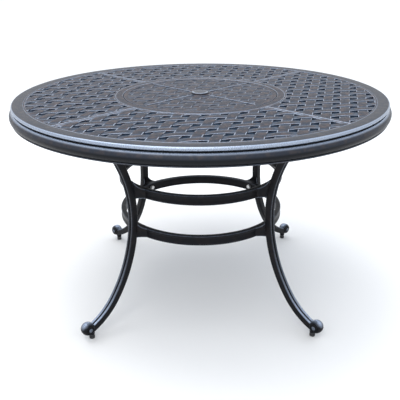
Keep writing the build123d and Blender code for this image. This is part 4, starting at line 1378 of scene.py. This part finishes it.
def flange_shell():
    """Flange: a rounded rectangle on rows of rising height, each scaled down by its inset over the half
    sides."""
    outer = head_radius + half_depth / cos(radians(upper_bend_angle)) + flange_overhang
    middle = (flange_inner_radius + outer) / 2
    half_sides = np.array([(outer - flange_inner_radius) / 2, flange_width / 2])
    square = np.array([(-1, -1), (1, -1), (1, 1), (-1, 1)])
    plan = rounded(np.column_stack([square * half_sides, np.full(len(square), flange_corner)]))
    profile = np.array([
        (flange_lower_ease, 0),
        (flange_upper_ease, flange_upper_ease),
        (0, flange_lower_ease),
        (0, flange_thickness - flange_upper_ease),
        (flange_upper_ease, flange_thickness),
    ])
    shrink = 1 - profile[:, :1, None] / half_sides
    height = np.broadcast_to(profile[:, 1:, None], (len(profile), len(plan), 1))
    rows = np.concatenate([plan * shrink, height], axis=2)
    return tube_shell(rows + [middle, 0, leg_top - flange_thickness], FLANGE_WEAR)


leg_shells.append(flange_shell())
print("leg flange:", len(leg_shells[-1][1]), "faces")

# %% [markdown]
# Lugs for the hoops
#
# Two lugs on the inner side of each leg hold the hoops. They flare sideways from the leg to the hoop and
# slope down to the hoop's height. Two end faces with a bridge between would leave flat sides. So each lug
# is a loft: one rounded box whose width and height change along the way, and whose end lies on the hoop's
# own cylinder.

# %% Leg lugs
upper_hoop_low, upper_hoop_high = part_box("upper_hoop")
lower_hoop_low, lower_hoop_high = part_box("lower_hoop")
hoop_radius = upper_hoop_high.x / MM
hoop_height = (upper_hoop_high.z - upper_hoop_low.z) / MM
hoop_levels = {
    "upper_hoop": (upper_hoop_high.z + upper_hoop_low.z) / 2 / MM,
    "lower_hoop": (lower_hoop_high.z + lower_hoop_low.z) / 2 / MM,
}
lug_width = 66.0
lug_root_inset = 3.5
lug_root_rise = 45.0
lug_root_depth = 5.0
lug_under_share = 0.97
LUG_STEPS = 15
LUG_ARC_STEPS = 6
LUG_FLARE = 1.7
LUG_FALL = 1.8
LUG_LOWER_ROUND = 0.16
LUG_UPPER_ROUND = 0.22
LUG_RUB_SIZE = 20.0
LUG_RUB_REACH = 2.5


def lug_shell(level):
    """Lug: a loft from the leg to the hoop. Its half width grows with a power of the share along it, its
    upper edge falls with another, and its end lies on the hoop: the root of the hoop's radius squared
    less the sideways distance squared."""
    share = np.linspace(0, 1, LUG_STEPS)[:, None]
    half = hoop_height / 2
    root_wide = half_width - lug_root_inset
    wide = root_wide + (lug_width / 2 - root_wide) * share**LUG_FLARE
    top = lug_root_rise + (half - lug_root_rise) * (1 - (1 - share) ** LUG_FALL)
    box = rounded([
        (-1, -1, LUG_LOWER_ROUND),
        (1, -1, LUG_LOWER_ROUND),
        (1, 1, LUG_UPPER_ROUND),
        (-1, 1, LUG_UPPER_ROUND),
    ], LUG_ARC_STEPS)
    sideways = wide * box[:, 0]
    rise = np.where(box[:, 1] > 0, top * box[:, 1], half * lug_under_share * box[:, 1])
    root = leg_radius(level) - half_depth + lug_root_depth
    seat = np.sqrt((hoop_radius - joint_overlap) ** 2 - sideways**2)
    rows = np.stack([root + (seat - root) * share, sideways, level + rise], axis=-1)
    return tube_shell(rows, exposure(box * LUG_RUB_SIZE, LUG_RUB_REACH))


lug_shells = [lug_shell(hoop_levels[name]) for name in ("lower_hoop", "upper_hoop")]
print("each lug:", len(lug_shells[0][1]), "faces")

# %% [markdown]
# The scroll foot
#
# The toe ends in a scroll: a fat barrel lying across the leg, with an eye on each flank and a spiral
# pressed in round it. Carving the spiral with a boolean would leave thin slivers. On a turned barrel it
# is only a dent in the flank, wherever the radius and the turned angle agree.

# %% Scroll
scroll_radius = 21.5
scroll_position = 513.0
scroll_height = 40.5
scroll_width = 31.0
scroll_edge = 6.0
eye_radius = 7.5
eye_height = 3.0
eye_margin = 1.0
spiral_turns = 1.2
spiral_width = 1.3
spiral_depth = 1.6
SCROLL_STEPS = 72
FLANK_STEPS = 22
BARREL_STEPS = 25
FLANK_START = 0.3
EYE_SHARPNESS = 6
BARREL_POWER = 2.6
flank_radius = scroll_radius - scroll_edge
half_scroll = scroll_width / 2


def scroll_profile():
    """Profile of the scroll, from one eye over the barrel to the other: radius, sideways place and a mark
    for the flanks. The eye's height and the barrel's rounding fall with high powers of the distance."""
    flank = np.linspace(FLANK_START, flank_radius, FLANK_STEPS)
    eye = eye_height * np.clip(1 - (flank / eye_radius) ** EYE_SHARPNESS, 0, 1)
    across = np.linspace(-1, 1, BARREL_STEPS)[1:-1]
    barrel = scroll_radius - scroll_edge * np.abs(across) ** BARREL_POWER
    radius = np.concatenate([flank, barrel, flank[::-1]])
    width = np.concatenate([-half_scroll - eye, across * half_scroll, (half_scroll + eye)[::-1]])
    on_flank = np.concatenate([np.ones(FLANK_STEPS), np.zeros(len(barrel)), np.ones(FLANK_STEPS)])
    return radius[:, None], width[:, None], on_flank[:, None]


print("scroll profile:", len(scroll_profile()[0]), "points")

# %% [markdown]
# The scroll's spiral, rub and painted light
#
# A spiral that is only painted on would catch no light, so it is a real dent: a bell curve of the distance
# to the nearest winding. The barrel's upper side, which faces the sky, and the eye get a painted highlight,
# the rim of each flank is rubbed, and the spiral gets painted shade.

# %% Scroll foot
CROWN_WIDTH = 1.25
CROWN_SKY = 0.25
CROWN_SLOPE = 1.1
CROWN_HIGHLIGHT = 0.88
FLANK_RIM_WIDTH = 2.0
FLANK_RIM_RUB = 0.4
EYE_HIGHLIGHT = 0.6
SPIRAL_SHADE = 1.5


def scroll_shell():
    """Scroll: the profile turned about the sideways axis. The flanks are dented by a bell curve of the
    distance to the nearest winding: the radius over the spiral's pitch less the turn, less its nearest
    whole number."""
    radius, width, on_flank = scroll_profile()
    turn = full_turn(SCROLL_STEPS)
    pitch = (flank_radius - eye_radius) / spiral_turns
    phase = (radius - eye_radius) / pitch - turn / (2 * np.pi)
    beside = (phase - np.round(phase)) * pitch
    spiral = np.exp(-((beside / spiral_width) ** 2)) * on_flank * (radius > eye_radius)
    width = width - np.sign(width) * spiral_depth * spiral
    out, up = scroll_position + radius * np.cos(turn), scroll_height + radius * np.sin(turn)
    # Painted highlight on the barrel's crown, strongest on its upper side, which faces the sky.
    sky_side_highlight = np.clip(CROWN_WIDTH - np.abs(width) / half_scroll, 0, 1)
    sky_side_highlight = sky_side_highlight * np.clip(CROWN_SKY + CROWN_SLOPE * np.sin(turn), 0, 1)
    rim = np.clip(1 - np.abs(np.abs(width) - half_scroll) / FLANK_RIM_WIDTH, 0, 1)
    rim = rim * (radius > flank_radius - eye_margin)
    wear_and_light = CROWN_HIGHLIGHT * sky_side_highlight + FLANK_RIM_RUB * rim - SPIRAL_SHADE * spiral
    # Painted highlight on the eye.
    wear_and_light = np.where(radius < eye_radius - eye_margin, EYE_HIGHLIGHT, wear_and_light)
    return tube_shell(np.stack([out, width, up], axis=-1), wear_and_light)


leg_shells.append(scroll_shell())
print("scroll foot:", len(leg_shells[-1][1]), "faces")

# %% [markdown]
# The foot boss, and four whole legs
#
# A short post under the scroll holds the bush for the levelling foot, and with it the leg is complete.
# Its shells overlap inside the leg, where nobody sees it. Four linked copies could be turned as objects,
# but a finished piece stays at the origin, so the points themselves are turned to the four corners. The
# finish is darker and less brown than the top's: the same paint, darkened as painted shade for the frame
# that stands in the table's shadow, and rubbed only on its crests.

# %% Legs
foot_position = 500.0
foot_boss_radius = 9.5
foot_boss_height = 14.0
boss_reach = 22.0
boss_ease = 1.0
boss_fine_ease = 0.3
BOSS_STEPS = 40
BOSS_WEAR = 0.2


def boss_shell():
    """Foot boss: a post turned about its own axis, drawn in at its lower edge."""
    profile = np.array([(boss_ease, 0), (boss_fine_ease, boss_fine_ease), (0, boss_ease), (0, boss_reach)])
    rows = turned_rows(foot_boss_radius - profile[:, :1], foot_boss_height + profile[:, 1], BOSS_STEPS)
    return tube_shell(rows + [foot_position, 0, 0], BOSS_WEAR)


# A darker copy of the cast paint: its darkness is painted shade under the table top, the blue in the bare
# metal is a painted reflection of the sky, and the hollow colour is painted shade.
shaded_frame_finish = cast_finish(
    "shaded_frame_cast",
    [(0.0046, 0.0054, 0.0075), (0.016, 0.0138, 0.0142), (0.34, 0.39, 0.48), (0.002, 0.0024, 0.0032)],
    patchiness=0.4,
    specular=0.12,
    grain=0.25,
)
leg_shells += [boss_shell(), *lug_shells]
for corner, azimuth in CORNERS.items():
    placed = [(turned(points, azimuth), faces, wear_and_light) for points, faces, wear_and_light in leg_shells]
    make_piece(f"leg_casting_{corner}", placed, shaded_frame_finish, "table", [f"leg_{corner}"])

# %% [markdown]
# Hoops
#
# Two hoops tie the legs together. Each has a raised band along its upper and lower edge with a hollow
# between, on both faces. A strip could be bent along a circle, but turning a section closes the ring at
# once. The section is two soft hollows joined by rounded corners.

# %% Hoops
hoop_thickness = 17.0
hoop_corner = 3.0
hoop_band = 7.0
hoop_outer_hollow = 3.0
hoop_inner_hollow = 1.5
outer_band_step = 0.5
outer_band_ease = 0.8
inner_band_step = 0.4
inner_band_ease = 0.7
OUTER_HOLLOW_STEPS = 14
INNER_HOLLOW_STEPS = 12
HOOP_CORNER_STEPS = 8
HOOP_RUB = 0.7


def hoop_outline(level):
    """Hoop section, anticlockwise: rounded corners, with an arc through three points for each hollow."""
    inside = hoop_radius - hoop_thickness
    top = hoop_height / 2 - hoop_band
    outer_band, inner_band = hoop_radius - outer_band_step, inside + inner_band_step
    outer_hollow, inner_hollow = (hoop_radius - hoop_outer_hollow, 0), (inside + hoop_inner_hollow, 0)
    outer = arc_through((outer_band, -top), outer_hollow, (outer_band, top), OUTER_HOLLOW_STEPS)
    inner = arc_through((inner_band, top), inner_hollow, (inner_band, -top), INNER_HOLLOW_STEPS)
    right, left = hoop_radius - hoop_corner, inside + hoop_corner
    high, low = hoop_height / 2 - hoop_corner, hoop_corner - hoop_height / 2
    starts = {0: (right, high), 90: (left, high), 180: (left, low), 270: (right, low)}
    corners = [
        arc(centre, hoop_corner, start, start + 90, HOOP_CORNER_STEPS) for start, centre in starts.items()
    ]
    return np.concatenate([
        outer, [(hoop_radius, top + outer_band_ease)], corners[0],
        corners[1], [(inside, top + inner_band_ease)], inner, [(inside, -top - inner_band_ease)], corners[2],
        corners[3], [(hoop_radius, -top - outer_band_ease)],
    ]) + [0, level]


for name, level in hoop_levels.items():
    hoop_shells = [ring_shell(hoop_outline(level), HOOP_RUB)]
    make_piece(f"{name}_casting", hoop_shells, shaded_frame_finish, "table", [name])

# %% [markdown]
# Metal fittings and nylon
#
# Bolts, races and screws are bought parts with finishes of their own: plated steel, bare aluminium, brass
# and two moulded nylons. Plain colours would look like toys, so two groups age them: tool marks for the
# metals and a moulded skin for the nylons. Both are built alike. A broad noise mixes a fresh and an aged
# colour, and a fine noise changes the roughness and gives the height.

# %% Groups for the fittings
GRAIN_RANGE = (0.3, 0.7)


def aged_group(name, grain, stain, stain_range, roughness):
    """Group that mixes a fresh and an aged colour by a broad noise, and takes roughness and height from a
    fine one. Both noises are given as scale and detail."""
    group, given, result = new_group(
        name,
        {"Vector": VECTOR, "Fresh": COLOUR, "Aged": COLOUR},
        {"Color": COLOUR, "Roughness": FLOAT, "Height": FLOAT},
    )
    fine = noise(group, given["Vector"], *grain)
    broad = spread(group, noise(group, given["Vector"], *stain), *stain_range)
    feed(group, result["Color"], blend_colour(group, broad, given["Fresh"], given["Aged"]))
    feed(group, result["Roughness"], spread(group, fine, *GRAIN_RANGE, *roughness))
    feed(group, result["Height"], fine)
    return group


tool_marks = aged_group("tool_marks", (1400.0, 2), (90.0, 4), (0.42, 0.72), (0.24, 0.42))
moulded_skin = aged_group("moulded_skin", (900.0, 3), (130.0, 5), (0.5, 0.75), (0.45, 0.62))
print("groups:", tool_marks.name, moulded_skin.name)

# %% [markdown]
# Finishes of the fittings
#
# Each finish places its group with a fresh and an aged colour, on a shader that is all metal or none. One
# steel could serve for every steel fitting, but the stems of the levelling feet get a darker plating than
# the bolts, so that the feet are dark down to the floor.

# %% Fitting finishes
METAL = 1.0
PLASTIC = 0.0
FITTING_GRAIN = 0.2
FITTING_GRAIN_DEPTH = 0.1 * MM


def fitting_finish(name, group, fresh, aged, metallic):
    """A fitting's material: a group with its two colours, on a shader of plain metal or plastic."""
    material, shader = start_material(name)
    tree = material.node_tree
    node = place_group(material, group)
    feed(tree, node.inputs["Fresh"], fresh)
    feed(tree, node.inputs["Aged"], aged)
    feed(tree, shader.inputs["Base Color"], node.outputs["Color"])
    feed(tree, shader.inputs["Roughness"], node.outputs["Roughness"])
    shader.inputs["Metallic"].default_value = metallic
    raise_grain(material, node.outputs["Height"], shader, FITTING_GRAIN, FITTING_GRAIN_DEPTH)
    return material


fitting_looks = {
    "plated_steel": (tool_marks, (0.56, 0.57, 0.58), (0.36, 0.34, 0.31), METAL),
    "dark_plated_steel": (tool_marks, (0.13, 0.13, 0.135), (0.075, 0.072, 0.070), METAL),
    "bare_aluminium": (tool_marks, (0.62, 0.63, 0.64), (0.48, 0.48, 0.47), METAL),
    "brass": (tool_marks, (0.62, 0.45, 0.18), (0.38, 0.27, 0.12), METAL),
    "cage_nylon": (moulded_skin, (0.66, 0.64, 0.58), (0.52, 0.49, 0.42), PLASTIC),
    "black_nylon": (moulded_skin, (0.020, 0.020, 0.021), (0.060, 0.058, 0.055), PLASTIC),
}
fittings = {name: fitting_finish(name, *look) for name, look in fitting_looks.items()}
print("fitting finishes:", sorted(fittings))

# %% [markdown]
# Levelling feet: stem and collar
#
# Each foot screws in and out on a threaded stem, with a hexagon collar for a spanner. A thread is a
# helix: at every height the groove sits at another angle, so the radius is one wave of height and angle
# together. Blender could sweep a tooth along a spiral curve, but the wave gives a true screw in one
# closed surface.

# %% Threaded stem and collar
stem_radius = 4.0
stem_tip_length = 0.8
stem_tip_ease = 1.0
thread_pitch = 1.25
thread_depth = 0.65
collar_half = 6.5
collar_height = 3.5
collar_ease = 0.4
collar_crown = 0.3
collar_cone = 1.8
FOOT_STEPS = 48
THREAD_STEPS = 8
THREAD_ROUNDING = 1.5
STEM_WEAR = -0.1
COLLAR_WEAR = 0.2
FLAT_TURN = np.pi / 3


def stem_shell(low, high, thread_low):
    """Threaded stem: its radius falls by a rounded cosine wave of the height over the pitch, less the
    turn. Below the collar it is plain, and a short tip is drawn in."""
    height = np.arange(low, high - stem_tip_length, thread_pitch / THREAD_STEPS)[:, None]
    wave = 0.5 - 0.5 * np.cos(2 * np.pi * (height / thread_pitch) - full_turn(FOOT_STEPS))
    threaded = np.clip((height - thread_low) / thread_pitch, 0, 1)
    radius = stem_radius - thread_depth * threaded * wave**THREAD_ROUNDING
    tip = turned_rows(stem_radius - stem_tip_ease, [high], FOOT_STEPS)
    return tube_shell(np.concatenate([turned_rows(radius, height[:, 0], FOOT_STEPS), tip]), STEM_WEAR)


def collar_shell(low):
    """Hexagon collar: its radius is its half width over the cosine of the angle to the nearest flat, cut
    by a cone at both ends."""
    flat = (full_turn(FOOT_STEPS) + FLAT_TURN / 2) % FLAT_TURN - FLAT_TURN / 2
    level = np.array([0.0, collar_ease, 2 * collar_ease])
    level = np.concatenate([level, collar_height - level[::-1]])
    cone = collar_half + collar_crown + np.minimum(level, collar_height - level) * collar_cone
    radius = np.minimum(collar_half / np.cos(flat), cone[:, None])
    return tube_shell(turned_rows(radius, low + level, FOOT_STEPS), COLLAR_WEAR)


print("collar:", len(collar_shell(0)[1]), "faces")

# %% [markdown]
# Pads, and four levelling feet
#
# A nylon pad on the floor keeps the metal off the patio. A plain cylinder would have sharp edges, so the
# pad is turned with quarter rounds. Each foot's heights come from the boxes of its CAD nodes, and its
# stem and pad ride on the same body, which turns as it screws out.

# %% Levelling feet
pad_edge = 1.5


def pad_shell(radius, high):
    """Glide pad: a turned disc whose lower and upper edges are quarter rounds."""
    profile = np.concatenate([
        arc((radius - pad_edge, pad_edge), pad_edge, 270, 360, ARC_STEPS),
        arc((radius - pad_edge, high - pad_edge), pad_edge, 0, 90, ARC_STEPS),
    ])
    return tube_shell(turned_rows(profile[:, :1], profile[:, 1], FOOT_STEPS))


def moved(shells, place):
    """Shells with a place added to all their points."""
    return [(points + place, faces, wear_and_light) for points, faces, wear_and_light in shells]


stem_finish = fittings["dark_plated_steel"]
pad_finish = fittings["black_nylon"]
for corner, azimuth in CORNERS.items():
    stem_low, stem_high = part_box(f"leveller_stem_{corner}")
    pad_low, pad_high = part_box(f"glide_pad_{corner}")
    pad_top = pad_high.z / MM
    pad_radius = (pad_high.x - pad_low.x) / 2 / MM
    place = turned(np.array([foot_position, 0, 0]), azimuth)
    body = f"leveller_{corner}"
    stem = stem_shell(stem_low.z / MM, stem_high.z / MM, pad_top)
    stem_shells = moved([stem, collar_shell(pad_top)], place)
    stem_nodes = [f"leveller_stem_{corner}"]
    make_piece(f"threaded_stem_{corner}", stem_shells, stem_finish, body, stem_nodes)
    pad_shells = moved([pad_shell(pad_radius, pad_top)], place)
    pad_nodes = [f"glide_pad_{corner}"]
    make_piece(f"floor_pad_{corner}", pad_shells, pad_finish, body, pad_nodes)

# %% [markdown]
# Fittings that keep their CAD shapes
#
# Bolts, washers, races, screws and cross bars are right as they come from the CAD, so we don't model them
# again. Each only gets the finish that its record names: the bought parts their own, and the cast ones
# the frame's dark coat, darkened as painted shade.

# %% Dress the fittings
dressed = 0
for part in frame["record"]["subparts"]:
    node = frame["nodes"][part["node"]]
    if not node.hide_render:
        is_cast = part["material_slot"] == CAST
        node.data.materials.clear()
        node.data.materials.append(shaded_frame_finish if is_cast else fittings[part["material_slot"]])
        dressed += 1
print("fittings dressed:", dressed)

# %% [markdown]
# The floor
#
# The table stands on a plain pale floor, wide enough to reach the horizon. A square plane would do as
# well, but a round one is equally wide on all sides. Seen from below it is clear, so that the underside
# can be looked at too: the material mixes in a transparent shader on its back side.

# %% Floor
FLOOR_RADIUS = 40.0
FLOOR_CORNERS = 64
floor_edge = np.column_stack([
    arc((0, 0), FLOOR_RADIUS, 0, 360, FLOOR_CORNERS + 1)[:-1],
    np.zeros(FLOOR_CORNERS),
])
floor_mesh = bpy.data.meshes.new("floor")
floor_mesh.from_pydata(floor_edge.tolist(), [], [range(FLOOR_CORNERS)])
floor = bpy.data.objects.new("floor", floor_mesh)
bpy.context.scene.collection.objects.link(floor)
floor_paint, floor_shader = start_material("pale_floor")
floor_shader.inputs["Base Color"].default_value = (0.89, 0.86, 0.81, 1)
floor_shader.inputs["Roughness"].default_value = 0.9
floor_shader.inputs["Specular IOR Level"].default_value = 0.1
floor_tree = floor_paint.node_tree
floor_back = add_node(floor_tree, "ShaderNodeNewGeometry").outputs["Backfacing"]
clear_shader = add_node(floor_tree, "ShaderNodeBsdfTransparent").outputs["BSDF"]
floor_choice = add_node(floor_tree, "ShaderNodeMixShader")
for socket, source in zip(floor_choice.inputs, (floor_back, floor_shader.outputs["BSDF"], clear_shader)):
    feed(floor_tree, socket, source)
feed(floor_tree, floor_tree.nodes["Material Output"].inputs["Surface"], floor_choice.outputs["Shader"])
floor_mesh.materials.append(floor_paint)
print(f"floor {2 * FLOOR_RADIUS:.0f} m across")

# %% [markdown]
# The sky
#
# A soft sky lights the table: bright overhead and dimmer towards the horizon, so that rounded edges catch
# light while upright faces stay dark. A picture of a real sky could light it too, but the metal would
# mirror what it shows. A dim horizon would be a grey band behind the table, though. So the camera, and
# the rays that shiny metal mirrors, see a paler one, which Blender's Light Path node lets us choose.

# %% Sky
SKY_RISE = 0.9
HORIZON_LIGHT = (0.46, 0.49, 0.54)
HORIZON_SEEN = (0.88, 0.88, 0.88)
ZENITH = (1.36, 1.48, 1.68)
world = bpy.data.worlds.new("studio")
bpy.context.scene.world = world
world.use_nodes = True
sky = world.node_tree
sky_split = add_node(sky, "ShaderNodeSeparateXYZ")
feed(sky, sky_split.inputs["Vector"], add_node(sky, "ShaderNodeTexCoord").outputs["Generated"])
upward = spread(sky, sky_split.outputs["Z"], 0.0, SKY_RISE)
rays = add_node(sky, "ShaderNodeLightPath").outputs
seen = calculate(sky, "MAXIMUM", rays["Is Camera Ray"], rays["Is Glossy Ray"])
seen = calculate(sky, "MAXIMUM", seen, rays["Is Transmission Ray"])
horizon = blend_colour(sky, seen, HORIZON_LIGHT, HORIZON_SEEN)
feed(sky, sky.nodes["Background"].inputs["Color"], blend_colour(sky, upward, horizon, ZENITH))
sky.nodes["Background"].inputs["Strength"].default_value = 1.0
print("sky:", len(sky.nodes), "nodes")

# %% [markdown]
# Lamps
#
# Two large square lamps add a gentle direction: one overhead, a little to the left and behind, and one
# from the front, high above the camera. A sun lamp would draw hard shadows. Large lamps give soft ones,
# as an overcast day does.

# %% Lamps
TABLE_MIDDLE = (0, 0, 0.6)


def soft_lamp(name, size, power, place):
    """Square area lamp that points from its place to the table's middle, in metres and watts."""
    data = bpy.data.lights.new(name, "AREA")
    data.size = size
    data.energy = power
    lamp = bpy.data.objects.new(name, data)
    bpy.context.scene.collection.objects.link(lamp)
    lamp.location = place
    lamp.rotation_euler = (Vector(TABLE_MIDDLE) - Vector(place)).to_track_quat("-Z", "Y").to_euler()
    print(f"lamp {name}: {power:.0f} W over {size:.1f} m")


soft_lamp("overhead", size=2.6, power=55.0, place=(-0.6, 0.4, 3.2))
soft_lamp("front", size=2.2, power=30.0, place=(-0.4, -2.4, 2.9))

# %% [markdown]
# The camera
#
# The camera stands where the photographer did, about 0.4 m above the table's top, and looks down at it.
# It could be placed by eye, but its place, its lens and its small turns were fitted instead, so that the
# rim, the disc, the hoops and the feet fall where the photograph has them.

# %% Camera
camera_place = (-0.009, -1.8865, 1.1123)
camera_pitch = radians(22.58)
camera_heading = 0.0048
camera_roll = -0.0069
camera_data = bpy.data.cameras.new("camera")
camera_data.sensor_width = 36.0
camera_data.lens = 51.56
camera_data.shift_x = -0.00215
camera = bpy.data.objects.new("camera", camera_data)
bpy.context.scene.collection.objects.link(camera)
look = Matrix.Rotation(-camera_heading, 4, "Z") @ Matrix.Rotation(radians(90) - camera_pitch, 4, "X")
camera.matrix_world = Matrix.Translation(camera_place) @ look @ Matrix.Rotation(camera_roll, 4, "Z")
bpy.context.scene.camera = camera
bpy.context.scene.view_settings.view_transform = "Standard"
print("camera at", tuple(round(value, 3) for value in camera.location))
